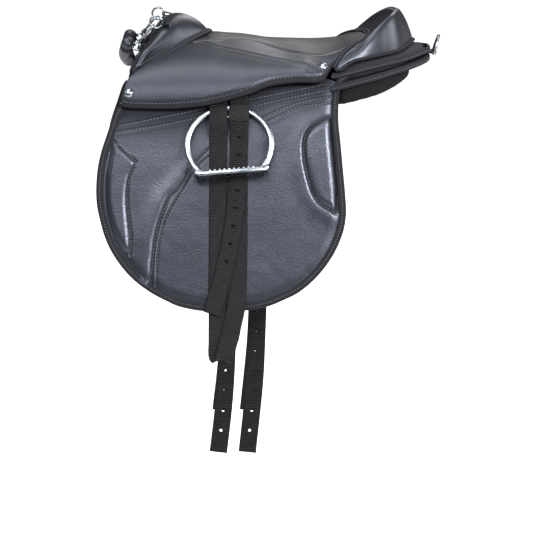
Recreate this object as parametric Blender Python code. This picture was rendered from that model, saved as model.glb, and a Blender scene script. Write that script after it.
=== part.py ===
"""Child's first saddle pad with run-up stirrups, built as separate sewn and metal pieces.

Lengths are in millimetres and become metres where a mesh is made.
+X points to the horse's tail, +Z up, and the near (left) side is -Y.
The origin lies in the spine channel, under the middle of the seat.
Near pieces are modelled and the off pieces are their mirror images.
"""
import math

import bmesh
import bpy
from mathutils import Matrix, Vector

MM = 0.001
GAP = 0.35                    # clearance between pieces that touch

# Sewn layers
FLAP_THICK = 5.0
BASE_THICK = 5.0
SKIRT_THICK = 3.5
COVER_THICK = 2.5
BINDING_WIDTH = 10.0          # woven tape over the flap's edge
BINDING_PROUD = 0.8           # how far the tape stands out of the leather
SKIRT_TAPE = 9.0              # woven tape along the skirt's lower edge
EDGE_TAPE = 8.5               # height of the tapes around the rear of the pad
EDGE_TAPE_DEPTH = 4.5
PANEL_THICK = 25.0
CHANNEL_HALF = 27.0           # half the free width over the horse's spine
PAD_REAR = 233.0
TAPE_START = 110.0            # where the tapes around the rear begin

# The flap hangs in a plane that leans outward
FLAP_TOP_Y = 118.0            # half width of the flap plane at Z = 0
FLAP_LEAN = math.radians(19.0)
HINGE_V0 = 22.4               # depth of the flap's bend line at X = 0
HINGE_SLOPE = 0.2055          # how much it rises towards the tail
FOLD_X = -46.0                # the stirrup leather's middle on the bend line
FOLD_HEIGHT = 11.5            # the bend's axis over the flap's face

# Stirrup leather
WEB_WIDTH = 25.0
WEB_THICK = 1.8
FRONT_RUN_X = -60.0
REAR_RUN_X = -32.0
LOOP_BOTTOM = 384.0
TAIL_END = 322.0
HOLE_RADIUS = 2.0
TAIL_FIRST_HOLE = 76.0
TAIL_HOLE_PITCH = 24.7
TAIL_HOLES = 8
BAR_V = -6.0                  # the stirrup bar's depth on the flap plane
BAR_RADIUS = 1.7
BAR_LENGTH = 62.0
KEEPER_WALL = 0.8
KEEPER_INSIDE = 4.6

# Stirrup iron, a round child's iron with the eye inside its crown
IRON_RADIUS = 58.0            # centre line of the round part
IRON_BAR = 8.0                # width of the arms
IRON_DEPTH = 5.0
IRON_X = -49.5
IRON_TOP_V = 34.5             # depth of the crown on the flap plane
IRON_TOP_W = 4.3
IRON_LEAN = math.radians(8.0)
IRON_ROLL = math.radians(5.0)
IRON_HEIGHT = 54.0            # half height of the oval that the arms follow
TREAD_T = 95.0                # crown to tread
TREAD_HALF = 44.0
TREAD_DEPTH = 21.0
TREAD_THICK = 5.0
TOOTH_PITCH = 6.6
TOOTH_COUNT = 10
TOOTH_HEIGHT = 3.0
EYE_HALF = 17.0
EYE_WALL = 3.0
EYE_DROP = 15.0

# Girth straps
GIRTH_THICK = 1.8
GIRTH_TOP_V = 28.0
GIRTH_END_Z = -526.0
GIRTH_CLEAR_Z = -335.0        # below this the outer face is one flat plane
GIRTH_LEAN_IN = 1.2           # how far the strap's top lies inside its lower part
GIRTH_HOLE_PITCH = 29.0
GIRTH_HOLES = 8
GIRTH_HOLE_END = 32.0         # last hole to the strap's end
FRONT_GIRTH = ((-30, -42), (-240, -45), (-391, -50), (-455, -54), (-526, -62))
REAR_GIRTH = ((-30, 0), (-240, -4), (-372, -8), (-428, -11), (-526, -21))

# Rings, snap hooks and the grab strap
RING_X, RING_Y, RING_Z = -148.5, 50.0, 77.6
RING_RADIUS = 8.6
RING_WIRE = 1.4
SNAP_LEAN = math.radians(51.0)    # below the horizontal, towards the front
HOOK_WIRE = 1.6
HOOK_HALF = 5.0
HOOK_LENGTH = 20.0
BARREL_LENGTH = 7.0
BARREL_RADIUS = 3.4
EYE_RING_RADIUS = 5.2
EYE_RING_WIRE = 1.4
STRAP_LOOP_RADIUS = 3.5
STRAP_LOOP_WIRE = 1.1
ROLL_RADIUS = 9.5
CRUPPER_WIRE = 2.0
CRUPPER_X, CRUPPER_Z = 243.8, 29.5
CRUPPER_HALF = 13.0
CRUPPER_REACH = 24.0
CRUPPER_LEAN = math.radians(17.0)

STUD_RADIUS = 6.5
STUD_HEIGHT = 3.2

# Outlines and profiles, each row (x, values...)
SPINE = ((-172, 37), (-140, 30), (-100, 22), (-40, 14), (30, 12), (100, 15), (170, 21), (236, 26))
BASE_EDGE_Z = ((-172, -4), (60, -6), (95, -3), (108, 0), (135, 6), (164, 12), (186, 17),
               (203, 20), (233, 25))
REAR_HALF = ((109, 121), (120, 119), (135, 114), (164, 101), (186, 85), (203, 69), (220, 45),
             (229, 26), (233, 10))
# Seat seam, where the seat cover meets the skirt
SEAM = ((-196, 130, -22), (-191, 126, -6), (-187, 118, 5), (-178, 106, 15), (-159, 89.5, 27),
        (-125, 63.5, 41), (-100, 48, 48.5), (-75, 42, 51), (-59, 39, 51), (-36, 28, 52),
        (-12, 29, 49), (11, 44, 43), (34, 62, 38), (57, 76, 36), (80, 84, 35), (98, 80, 38),
        (112, 73, 42), (136, 60, 50.5), (140, 55, 51), (146, 41, 52.3), (151, 18, 53.6))
# Lower and rear edge of the skirt
SKIRT_EDGE = ((-196, 135, -28.5), (-181, 135.5, -31.5), (-123, 138.5, -31.8), (-75, 144, -26),
              (-40, 145, -17), (-16, 143, -10), (11, 136, 0), (45, 131, 4), (84, 128, 7),
              (96, 112, 22), (109, 93, 36), (123, 77, 45), (136, 64, 50))
SEAT_CROWN = ((-101, 48.9), (-96, 50.8), (-90, 52.6), (-84, 54.2), (-79, 55.4), (-75, 57),
              (-68, 57.3), (-60, 57), (-30, 53.5), (5, 49.5), (35, 48), (70, 46.5), (104, 48),
              (122, 50.5), (138, 52.2), (151, 54))
# Pommel roll, rows (y, rear foot x z, ridge x z, front foot x z)
POMMEL = ((0, -75, 60, -118, 84.5, -152, 62), (15, -84, 58, -122, 83.5, -153, 60),
          (30, -96, 54, -128, 80, -155, 55), (45, -109, 48.5, -134, 74, -157, 50),
          (60, -123, 42.5, -143, 63, -162, 43), (75, -142, 34.5, -154, 52, -169, 33),
          (90, -161, 26, -166, 41, -175, 27), (101, -174, 17.5, -175, 24, -180, 17))
# Cantle roll, rows (inner foot, rim, outer foot), each x, y, z
CANTLE = (((100, 112, 21), (104, 114, 25), (106, 117, 18)),
          ((113, 92, 38), (127, 93, 43), (124, 107, 29)),
          ((126, 77, 46.5), (146, 81, 61), (147, 98, 34)),
          ((140, 60, 51.5), (163, 66, 76), (171, 83, 37)),
          ((149.5, 34, 53.8), (180, 42, 87.5), (195, 57, 40)),
          ((153, 0, 55), (189, 0, 91), (214, 0, 47)))
CANTLE_PAD = ((104, 111, 13, 44), (125, 112, 19, 46), (147, 105, 24, 48), (170, 93, 28, 46),
              (190, 79, 31, 44), (207, 60, 33.5, 42.5), (220, 41, 36, 41.5), (229, 22, 37, 39.5))
# Flap, in the flap plane: (along X, down the slope)
FLAP_OUTLINE = ((-213, 66), (-222, 94), (-227, 118), (-229, 144), (-228, 168), (-224, 188),
                (-217, 213), (-207, 235), (-192, 257), (-176, 274), (-155, 290), (-133, 302),
                (-112, 311), (-80, 317), (-50, 318), (-22, 316), (6, 311), (29, 302),
                (52, 290), (76, 269), (97, 241), (111, 210), (116, 183), (115, 155),
                (112, 120), (109, 86), (106, 55), (106, 30), (107, 1))
HEAD_OUTLINE = ((-212, 64), (-205, 41), (-195, 23), (-186, 12), (-150, 2), (-100, -9),
                (-60, -14), (20, -16), (70, -14), (95, -9), (106, -4))
KNEE_OUTLINE = ((-204, 81), (-174, 109), (-181, 128), (-185, 150), (-185, 175), (-182, 205),
                (-181, 230), (-190, 233), (-203, 212), (-211, 187), (-215, 160), (-214, 125),
                (-209, 99))
THIGH_OUTLINE = ((95, 49), (76, 56), (65, 65), (59, 78), (58, 96), (60, 115), (65, 136),
                 (71, 154), (80, 167), (93, 175), (103, 179), (104, 150), (101, 115), (98, 80))
PAD_HEIGHT = 4.0
# Share of the full thickness along the under-panels
PANEL_FILL = ((-158, 0.45), (-148, 0.8), (-125, 1), (140, 1), (166, 0.96), (185, 0.82),
              (200, 0.6), (207, 0.4))
# Height of the stirrup straps over the flap, rows (depth, inner face)
STRAP_RISE = ((-8, 6.1), (10, 6.1), (27, 7.3), (32, 8.4), (38, 9.4), (50, 10.1), (57, 9.0), (76, 2.6),
              (92, 0.5), (270, 0.5), (295, 1.4), (400, 1.4))
STRAP_STEPS = (32, 35, 39, 43, 47, 51, 56, 62, 70, 78, 86, 96, 120, 150, 180, 215, 250)


# Interpolation and frames
def along(rows, x):
    """Smooth value of the rows (x, a, b, ...) at x, held beyond both ends."""
    width = len(rows[0]) - 1
    if x <= rows[0][0]:
        values = rows[0][1:]
    elif x >= rows[-1][0]:
        values = rows[-1][1:]
    else:
        i = max(n for n in range(len(rows) - 1) if rows[n][0] <= x)
        span = rows[i + 1][0] - rows[i][0]
        t = (x - rows[i][0]) / span
        values = []
        for k in range(1, width + 1):
            a, b = rows[i][k], rows[i + 1][k]
            before, after = rows[max(i - 1, 0)], rows[min(i + 2, len(rows) - 1)]
            slope_a = (b - before[k]) / (rows[i + 1][0] - before[0]) * span
            slope_b = (after[k] - a) / (after[0] - rows[i][0]) * span
            values.append((2 * t**3 - 3 * t**2 + 1) * a + (t**3 - 2 * t**2 + t) * slope_a
                          + (3 * t**2 - 2 * t**3) * b + (t**3 - t**2) * slope_b)
    return values[0] if width == 1 else tuple(values)


def through(points, steps):
    """Points of a smooth open curve through the given points."""
    points = [Vector(p) for p in points]
    result = []
    for i in range(len(points) - 1):
        p0, p3 = points[max(i - 1, 0)], points[min(i + 2, len(points) - 1)]
        p1, p2 = points[i], points[i + 1]
        for n in range(steps):
            t = n / steps
            result.append(0.5 * (2 * p1 + (p2 - p0) * t + (2 * p0 - 5 * p1 + 4 * p2 - p3) * t**2
                                 + (3 * p1 - p0 - 3 * p2 + p3) * t**3))
    return result + [points[-1]]


def spaced(low, high, count):
    return [low + (high - low) * n / (count - 1) for n in range(count)]


def on_flap(u, v, w=0.0):
    """A place on the near flap: u along X, v down its slope, w out of its face."""
    reach = FLAP_TOP_Y + v * math.sin(FLAP_LEAN) + w * math.cos(FLAP_LEAN)
    return Vector((u, -reach, -v * math.cos(FLAP_LEAN) + w * math.sin(FLAP_LEAN)))


def hinge_v(u):
    return HINGE_V0 - HINGE_SLOPE * u


def inside_head(z):
    """Half width at height z just inside the flap head's inner face."""
    return FLAP_TOP_Y - (FLAP_THICK + GAP + z * math.sin(FLAP_LEAN)) / math.cos(FLAP_LEAN)


# Making objects
def start_scene():
    for item in list(bpy.data.objects):
        bpy.data.objects.remove(item, do_unlink=True)
    made = []
    for name in ("saddle_pad", "cutters"):
        group = bpy.data.collections.new(name)
        bpy.context.scene.collection.children.link(group)
        made.append(group)
    return made


PARTS, CUTTERS = start_scene()


def material(name, colour, roughness, metallic=0.0):
    made = bpy.data.materials.new(name)
    made.use_nodes = True
    shader = made.node_tree.nodes["Principled BSDF"]
    shader.inputs["Base Color"].default_value = (*colour, 1)
    shader.inputs["Roughness"].default_value = roughness
    shader.inputs["Metallic"].default_value = metallic
    return made


LEATHER = material("synthetic_leather", (0.075, 0.082, 0.1), 0.5)
SEAT_LEATHER = material("seat_leather", (0.085, 0.085, 0.088), 0.45)
TAPE = material("binding_tape", (0.035, 0.036, 0.042), 0.8)
WEBBING = material("webbing", (0.02, 0.02, 0.022), 0.8)
MESH_FABRIC = material("mesh_fabric", (0.01, 0.01, 0.012), 0.9)
FOAM = material("foam", (0.2, 0.2, 0.22), 0.95)
STEEL = material("polished_metal", (0.8, 0.83, 0.86), 0.18, 1.0)


def finish(name, mesh, finish_material, collection=None):
    made = bpy.data.objects.new(name, mesh)
    (collection or PARTS).objects.link(made)
    mesh.materials.clear()
    mesh.materials.append(finish_material)
    mesh.shade_smooth()
    mesh.set_sharp_from_angle(angle=math.radians(35))
    return made


def from_bmesh(name, bm, finish_material, collection=None):
    """Object with triangles, so that twisted faces mean the same surface everywhere."""
    bmesh.ops.recalc_face_normals(bm, faces=bm.faces)
    bmesh.ops.triangulate(bm, faces=bm.faces)
    mesh = bpy.data.meshes.new(name)
    bm.to_mesh(mesh)
    bm.free()
    return finish(name, mesh, finish_material, collection)


def loft(name, rings, finish_material, closed=False, collection=None):
    """Skin over rings of equal point counts; a closed loft joins its last ring to the first."""
    bm = bmesh.new()
    loops = [[bm.verts.new(Vector(p) * MM) for p in ring] for ring in rings]
    pairs = list(zip(loops, loops[1:])) + ([(loops[-1], loops[0])] if closed else [])
    for a, b in pairs:
        for i in range(len(a)):
            j = (i + 1) % len(a)
            bm.faces.new((a[i], a[j], b[j], b[i]))
    if not closed:
        bm.faces.new(loops[0])
        bm.faces.new(loops[-1])
    return from_bmesh(name, bm, finish_material, collection)


def shape_of(item):
    """The object's finished mesh in world space."""
    bpy.context.view_layer.update()
    ready = item.evaluated_get(bpy.context.evaluated_depsgraph_get())
    mesh = bpy.data.meshes.new_from_object(ready)
    mesh.transform(item.matrix_world)
    return mesh


def as_mesh(item):
    """Replace a curve object by its welded mesh."""
    mesh = shape_of(item)
    bm = bmesh.new()
    bm.from_mesh(mesh)
    bmesh.ops.remove_doubles(bm, verts=bm.verts, dist=0.00001)
    bm.to_mesh(mesh)
    bm.free()
    name, finish_material = item.name, item.data.materials[0]
    collection = item.users_collection[0]
    bpy.data.objects.remove(item, do_unlink=True)
    return finish(name, mesh, finish_material, collection)


def mirrored(item, name):
    """The off-side twin of a near piece."""
    mesh = shape_of(item)
    mesh.transform(Matrix.Diagonal((1, -1, 1, 1)))
    mesh.flip_normals()
    return finish(name, mesh, item.data.materials[0])


def tube(name, points, radius, finish_material, cyclic=False, sides=2, collection=None):
    """Round wire through the points; sides is the curve's bevel resolution."""
    curve = bpy.data.curves.new(name, "CURVE")
    curve.dimensions = "3D"
    curve.bevel_depth = radius * MM
    curve.bevel_resolution = sides
    curve.use_fill_caps = not cyclic
    spline = curve.splines.new("POLY")
    spline.points.add(len(points) - 1)
    for place, p in zip(spline.points, points):
        place.co = (*(Vector(p) * MM), 1)
    spline.use_cyclic_u = cyclic
    curve.materials.append(finish_material)
    made = bpy.data.objects.new(name, curve)
    (collection or PARTS).objects.link(made)
    return as_mesh(made)


def block(name, size, frame, finish_material=STEEL, collection=None):
    """Box of the given size in a frame that is a matrix in millimetres."""
    bm = bmesh.new()
    bmesh.ops.create_cube(bm, size=1)
    bmesh.ops.scale(bm, vec=size, verts=bm.verts)
    bmesh.ops.transform(bm, matrix=Matrix.Scale(MM, 4) @ frame, verts=bm.verts)
    return from_bmesh(name, bm, finish_material, collection)


def rod(name, radius, length, frame, sides=12, finish_material=STEEL, collection=None):
    """Cylinder along the frame's own Z axis, centred on it."""
    bm = bmesh.new()
    bmesh.ops.create_cone(bm, cap_ends=True, segments=sides, radius1=radius, radius2=radius,
                          depth=length)
    bmesh.ops.transform(bm, matrix=Matrix.Scale(MM, 4) @ frame, verts=bm.verts)
    return from_bmesh(name, bm, finish_material, collection)


def move_to_cutters(item):
    PARTS.objects.unlink(item)
    CUTTERS.objects.link(item)


def boolean(target, tool, operation):
    """Cut, or join, the tool into the target; the tool stays as a hidden guide."""
    tool.hide_render = True
    tool.display_type = "WIRE"
    step = target.modifiers.new(operation.lower() + "_" + tool.name, "BOOLEAN")
    step.operation = operation
    step.solver = "EXACT"
    step.object = tool


def frame_at(origin, x_axis, y_axis, z_axis):
    """Matrix with the given axes and origin, in millimetres."""
    rows = Matrix((x_axis, y_axis, z_axis)).transposed().to_4x4()
    rows.translation = origin
    return rows


def pivot(name, place, axis, children):
    """Empty on a joint's axis that carries the moving pieces, and the empties of joints beyond it."""
    empty = bpy.data.objects.new(name, None)
    PARTS.objects.link(empty)
    empty.empty_display_size = 0.02
    turn = Vector((0, 0, 1)).rotation_difference(Vector(axis)).to_matrix().to_4x4()
    empty.matrix_world = Matrix.Translation(Vector(place) * MM) @ turn
    bpy.context.view_layer.update()
    for child in children:
        child.parent = empty
        child.matrix_parent_inverse = empty.matrix_world.inverted()
    return empty


# The pad that lies on the horse
def base_edge(x):
    z = along(BASE_EDGE_Z, x)
    half = along(REAR_HALF, x) if x > 109 else inside_head(z)
    return half, z


def base_lines(x):
    """Widths at which the pad's surface has its edges, from the spine outward."""
    half, _ = base_edge(x)
    return [0, min(CHANNEL_HALF, 0.3 * half), 0.53 * half, 0.77 * half, half]


def base_top(x, y):
    """Height of the pad's faceted top face."""
    half, edge = base_edge(x)
    spine = along(SPINE, x)
    lines = base_lines(x)
    heights = [spine + (edge - spine) * (line / half) ** 2.2 for line in lines]
    y = min(abs(y), half)
    i = min(n for n in range(1, 5) if y <= lines[n] or n == 4)
    share = (y - lines[i - 1]) / (lines[i] - lines[i - 1])
    return heights[i - 1] + (heights[i] - heights[i - 1]) * share


BASE_STATIONS = (-172, -158, -140, -120, -100, -80, -42, -8, 28, 66, 84, 99, 108.5, 110, 122, 135,
                 150, 164, 176, 186, 196, 203, 207, 214, 220, 225, 229, PAD_REAR)


def base_pad():
    rings = []
    for x in BASE_STATIONS:
        lines = base_lines(x)
        ys = [-y for y in lines[:0:-1]] + lines
        top = [(x, y, base_top(x, y)) for y in ys]
        rings.append(top + [(x, y, z - BASE_THICK) for _, y, z in reversed(top)])
    return loft("base_pad", rings, MESH_FABRIC)


def under_panel():
    """Crowned mesh cushion that bears on the horse beside its spine."""
    rings = []
    for x in BASE_STATIONS:
        if not -160 < x < 208:
            continue
        _, inner, low, high, half = base_lines(x)
        outer = half - 4.5
        depth = PANEL_THICK * along(PANEL_FILL, x)
        places = (outer, high, low, inner)
        tops = [(x, -y, base_top(x, y) - BASE_THICK - GAP) for y in places]
        crown = (1.08, 1.16, 1.08, 0.78)
        lows = [(x, -y, tops[i][2] - depth * crown[i]) for i, y in enumerate(places)]
        lows[0] = (x, -(outer - 1.5), lows[0][2])
        lows[-1] = (x, -(inner + 4), lows[-1][2])
        outer_side = (x, -(outer + 2), tops[0][2] - depth * 0.5)
        inner_side = (x, -(inner - 1.5), tops[-1][2] - depth * 0.42)
        rings.append(tops + [inner_side] + lows[::-1] + [outer_side])
    return loft("near_under_panel", rings, MESH_FABRIC)


def edge_tape(name, height_at, half_at, top_rise):
    """Woven tape around the rear edge of a pad, from the near side round to the off side."""
    turns = spaced(0, math.pi / 2, 14)
    rows = [TAPE_START + (PAD_REAR - TAPE_START) * math.sin(turn) for turn in turns]
    side = [Vector((x, -half_at(x), height_at(x))) for x in rows]
    side.append(Vector((rows[-1] + 1.2, 0, height_at(rows[-1]) + 0.3)))
    path = side + [Vector((p.x, -p.y, p.z)) for p in side[-2::-1]]
    rings = []
    for i, p in enumerate(path):
        run = (path[min(i + 1, len(path) - 1)] - path[max(i - 1, 0)])
        out = Vector((run.y, -run.x, 0)).normalized()
        near, far = p + out * GAP, p + out * (GAP + EDGE_TAPE_DEPTH)
        top, low = Vector((0, 0, top_rise)), Vector((0, 0, top_rise - EDGE_TAPE))
        bevel = out * -1.2
        rings.append([near + top, far + top + bevel, far + top * 0.6, far + low * 0.6,
                      far + low + bevel, near + low])
    return loft(name, rings, TAPE)


# Seat, skirts, pommel and cantle
def seat_top(x, y):
    half, edge = along(SEAM, x)
    crown = along(SEAT_CROWN, x)
    return crown + (edge - crown) * min(abs(y) / half, 1.0) ** 2


def seat_cover():
    rings = []
    for x in (-100, -90, -80, -75, -70) + SKIRT_STATIONS[9:] + (136, 140, 146, 151):
        half = along(SEAM, x)[0] - GAP
        ys = [half * f for f in (-1, -0.7, -0.35, 0, 0.35, 0.7, 1)]
        top = [(x, y, seat_top(x, y)) for y in ys]
        rings.append(top + [(x, y, z - COVER_THICK) for _, y, z in reversed(top)])
    return loft("seat_cover", rings, SEAT_LEATHER)


def skirt_section(x):
    """Outer line of the skirt at x, from the seat seam to its lower edge, in near y and z."""
    top = Vector((-along(SEAM, x)[0] - GAP, along(SEAM, x)[1]))
    edge_y, edge_z = along(SKIRT_EDGE, x)
    edge = Vector((-edge_y, edge_z))
    full = Vector((-(edge_y - 4), edge_z + 0.74 * (top.y - edge_z)))
    flat = (top + edge) / 2 + Vector((-1.0, 1.5))
    return top, full.lerp(flat, min(max((x - 60) / 48, 0.0), 1.0)), edge


def bezier(a, b, c, t):
    return a * (1 - t) ** 2 + b * 2 * t * (1 - t) + c * t**2


SKIRT_STATIONS = (-194, -190, -183, -172, -158, -140, -120, -100, -80, -60, -42, -25, -8, 10, 28,
                  46, 66, 84, 92, 99, 108, 116, 124, 130)


def skirt_line(x, count):
    """Points and outward normals along the skirt, stopping where its tape begins."""
    top, bend, edge = skirt_section(x)
    tape = min(SKIRT_TAPE, 0.45 * (edge - top).length)
    last = 1.0
    while (bezier(top, bend, edge, last) - edge).length < tape + GAP and last > 0.3:
        last -= 0.01
    line = []
    for n in range(count):
        t = last * n / (count - 1)
        here = bezier(top, bend, edge, t)
        run = bezier(top, bend, edge, t + 0.01) - bezier(top, bend, edge, t - 0.01)
        line.append((here, Vector((run.y, -run.x)).normalized()))
    return line


def skirt():
    rings = []
    for x in SKIRT_STATIONS:
        line = skirt_line(x, 8)
        outer = [(x, p.x, p.y) for p, _ in line]
        inner = [(x, min((p - n * SKIRT_THICK).x, line[0][0].x), (p - n * SKIRT_THICK).y)
                 for p, n in line]
        rings.append(outer + inner[::-1])
    return loft("near_skirt", rings, LEATHER)


def skirt_binding():
    rings = []
    for x in SKIRT_STATIONS:
        start, normal = skirt_line(x, 8)[-1]
        edge = skirt_section(x)[2]
        run = (edge - start).normalized()
        begin = start + run * GAP
        out, back = normal * BINDING_PROUD, -normal * (SKIRT_THICK + BINDING_PROUD)
        section = (begin + out, edge + out * 0.4 - run, edge - normal * SKIRT_THICK * 0.5,
                   edge + back - run, begin + back)
        rings.append([(x, p.x, p.y) for p in section])
    return loft("near_skirt_binding", rings, TAPE)


def seat_foam():
    rings = []
    for x in (-80, -42, -8, 28, 66, 84, 99):
        top, bend, edge = skirt_section(x)
        _, first, second, reach, _ = base_lines(x)
        seam = min(-top.x, reach - 4)
        upper = [(f * seam, seat_top(x, f * seam) - COVER_THICK - 3 * GAP) for f in (0, 0.35, 0.7)]
        upper.append((seam, seat_top(x, seam) - SKIRT_THICK - 2 * GAP))
        beyond = min((bezier(top, bend, edge, n / 40) for n in range(41)),
                     key=lambda p: abs(-p.x - reach))
        upper.append((reach, beyond.y - SKIRT_THICK - 2.5))
        lower = [(y, base_top(x, y) + GAP) for y in (reach, second, first, 0)]
        side = upper[1:] + lower[:-1]
        rings.append([(x, y, z) for y, z in [upper[0]] + side + [lower[-1]]]
                     + [(x, -y, z) for y, z in side[::-1]])
    return loft("seat_foam", rings, FOAM)


def cantle_pad_top(x, y):
    half, edge, crown = along(CANTLE_PAD, x)
    return crown + (edge - crown) * min(abs(y) / half, 1.0) ** 2


def cantle_base():
    """Firm wedge under the cantle, between the pad and the cantle roll."""
    rings = []
    for x in (110,) + BASE_STATIONS[14:-1]:
        half = along(CANTLE_PAD, x)[0]
        lines = base_lines(x)[:4] + [half]
        ys = [-y for y in lines[:0:-1]] + lines
        top = [(x, y, cantle_pad_top(x, y)) for y in ys]
        lift = GAP + (4.2 if x > 206 else 0.0)
        low = [(x, y, base_top(x, y) + lift) for y in reversed(ys)]
        rings.append(top + low)
    return loft("cantle_base", rings, FOAM)


def pommel_roll():
    """Stuffed roll over the withers, from the near foot across to the off foot."""
    halves = [along(POMMEL, y) for y in (0, 12, 25, 38, 50, 60, 70, 80, 90, 100)]
    widths = (0, 12, 25, 38, 50, 60, 70, 80, 90, 100)
    rings = []
    for y, (rear_x, rear_z, ridge_x, ridge_z, front_x, front_z) in zip(widths, halves):
        swell = (ridge_z - rear_z) * 0.16
        low_rear = rear_z - 4
        drop = 3.5 + 0.08 * min(y, 60)
        low_front = max(base_top(front_x + 6, y) + GAP + 0.5, front_z - 26)
        middle = 0.5 * (rear_x + ridge_x)
        rings.append([(rear_x, rear_z), (middle + swell, 0.45 * rear_z + 0.55 * ridge_z + swell),
                      (ridge_x + 9, ridge_z - 0.8), (ridge_x - 3, ridge_z),
                      (ridge_x - 12, ridge_z - drop),
                      (front_x + 1, 0.5 * (front_z + ridge_z) - 0.5 * drop + 1.75),
                      (front_x, front_z), (front_x + 5, low_front),
                      (0.5 * (rear_x + front_x), max(low_rear - 8, low_front)),
                      (rear_x - 4, low_rear)])
    near = [[(x, -y, z) for x, z in ring] for y, ring in zip(widths, rings)]
    off = [[(x, y, z) for x, z in ring] for y, ring in zip(widths[1:], rings[1:])]
    return loft("pommel_roll", near[::-1] + off, LEATHER)


def cantle_roll():
    """Stuffed roll that rises behind the rider, round the rear of the seat."""
    def section(t):
        rows = []
        for k in range(3):
            points = [(n, *CANTLE[n][k]) for n in range(len(CANTLE))]
            rows.append(Vector(along(points, t)))
        return rows

    rings = []
    for t in (0, 0.4, 0.8, 1.25, 1.7, 2.2, 2.7, 3.2, 3.7, 4.15, 4.6, 5):
        inner, rim, outer = section(t)
        across = (outer - inner)
        across.z = 0
        across.normalize()
        rise = min(1.0, 0.35 + t * 0.3)
        lip = 7.0 * rise
        low_in = Vector((inner.x, inner.y, cantle_pad_top(inner.x, inner.y) + GAP + 0.6))
        low_in.z = min(low_in.z, inner.z - 1.5)
        low_out = outer - across * 3.0
        low_out.z = cantle_pad_top(low_out.x, low_out.y) + GAP + 0.3
        middle = (low_in + low_out) / 2
        middle.z = max(cantle_pad_top(middle.x, middle.y) + GAP + 0.6, low_in.z * 0.5)
        rings.append([inner, inner.lerp(rim, 0.45) + across * 2.5 * rise,
                      rim - across * 1.5 - Vector((0, 0, lip * 0.8)), rim,
                      rim + across * lip * 0.9 - Vector((0, 0, lip * 0.25)),
                      rim.lerp(outer, 0.5) + across * 4.0 * rise + Vector((0, 0, 3 * rise)),
                      outer, low_out, middle, low_in])
    near = [[(p.x, -p.y, p.z) for p in ring] for ring in rings]
    off = [[(p.x, p.y, p.z) for p in ring] for ring in rings[-2::-1]]
    return loft("cantle_roll", near + off, LEATHER)


# Flaps
def offset_line(points, distance):
    """The open outline moved inward, to the left of its run."""
    moved = []
    for i, p in enumerate(points):
        run = points[min(i + 1, len(points) - 1)] - points[max(i - 1, 0)]
        moved.append(p + Vector((run.y, -run.x)).normalized() * distance)
    return moved


def slab(name, outline, low, high, finish_material, edge=1.0):
    """Plate on the flap plane between two heights, with a small bevel around its outer face."""
    closed = list(outline)
    centre = sum(closed, Vector((0, 0))) / len(closed)
    size = sum((p - centre).length for p in closed) / len(closed)
    inset = [centre + (p - centre) * (1 - edge / size) for p in closed]
    rings = [[on_flap(p.x, p.y, low) for p in closed],
             [on_flap(p.x, p.y, high - min(edge, (high - low) / 2)) for p in closed],
             [on_flap(p.x, p.y, high) for p in inset]]
    return loft(name, rings, finish_material)


def below_hinge(p):
    """Push an outline's first and last points clear of the bend line."""
    return Vector((p.x, max(p.y, hinge_v(p.x) + GAP)))


def flap_edge():
    edge = through([Vector(p) for p in FLAP_OUTLINE], 2)
    edge[0] = Vector((edge[0].x, hinge_v(edge[0].x) + GAP))
    edge[-1] = Vector((edge[-1].x, hinge_v(edge[-1].x) + GAP))
    return edge


def flap():
    inner = [below_hinge(p) for p in offset_line(flap_edge(), BINDING_WIDTH + GAP)]
    return slab("near_flap", inner, -FLAP_THICK, 0.0, LEATHER)


def flap_binding():
    edge = flap_edge()
    inner = [below_hinge(p) for p in offset_line(edge, BINDING_WIDTH)]
    rings = []
    low, high = -FLAP_THICK - BINDING_PROUD, BINDING_PROUD
    for outer_p, inner_p in zip(edge, inner):
        soft = outer_p.lerp(inner_p, 0.18)
        middle = 0.5 * (low + high)
        rings.append([on_flap(inner_p.x, inner_p.y, low), on_flap(soft.x, soft.y, low),
                      on_flap(outer_p.x, outer_p.y, middle), on_flap(soft.x, soft.y, high),
                      on_flap(inner_p.x, inner_p.y, high)])
    return loft("near_flap_binding", rings, TAPE)


def flap_head():
    """Fixed top of the flap, sewn to the pad under the skirt."""
    edge = through([Vector(p) for p in HEAD_OUTLINE], 2)
    edge[0] = Vector((edge[0].x, hinge_v(edge[0].x) - GAP))
    lower = [Vector((x, hinge_v(x) - GAP)) for x in spaced(106.5, -195, 8)]
    return slab("near_flap_head", edge + lower, -FLAP_THICK, 0.0, LEATHER)


def padded_block(name, outline):
    """Low stuffed block sewn on the flap's face."""
    ring = [Vector(p) for p in outline]
    centre = sum(ring, Vector((0, 0))) / len(ring)
    rings = []
    for shrink, height in ((1.0, GAP), (1.0, 0.35), (0.95, 0.8), (0.82, 1.0), (0.45, 1.1)):
        w = height if height == GAP else height * PAD_HEIGHT
        rings.append([on_flap(*(centre + (p - centre) * shrink), w) for p in ring])
    return loft(name, rings, LEATHER)


# Stirrup leather
def ribbon(name, path, width, thick, finish_material, end_slopes=(0.0, 0.0)):
    """Flat strap through centre points (u, v, w) on the flap plane.

    end_slopes tilt the two ends, so that they run along the bend line.
    """
    rings = []
    points = [Vector(p) for p in path]
    for i, p in enumerate(points):
        run = (points[min(i + 1, len(points) - 1)] - points[max(i - 1, 0)]).normalized()
        side = Vector((1, 0, 0))
        side = (side - run * side.dot(run)).normalized()
        up = side.cross(run)
        ring = []
        for a, b in ((-1, -1), (1, -1), (1, 1), (-1, 1)):
            corner = p + side * a * width / 2 + up * b * thick / 2
            slope = end_slopes[0] if i == 0 else end_slopes[1] if i == len(points) - 1 else 0.0
            corner.y -= slope * (corner.x - p.x)
            if slope:
                corner.z += strap_middle(corner.y) - strap_middle(p.y)
            ring.append(on_flap(*corner))
        rings.append(ring)
    strap = loft(name, rings, finish_material)
    strap.data.shade_flat()
    return strap


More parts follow.
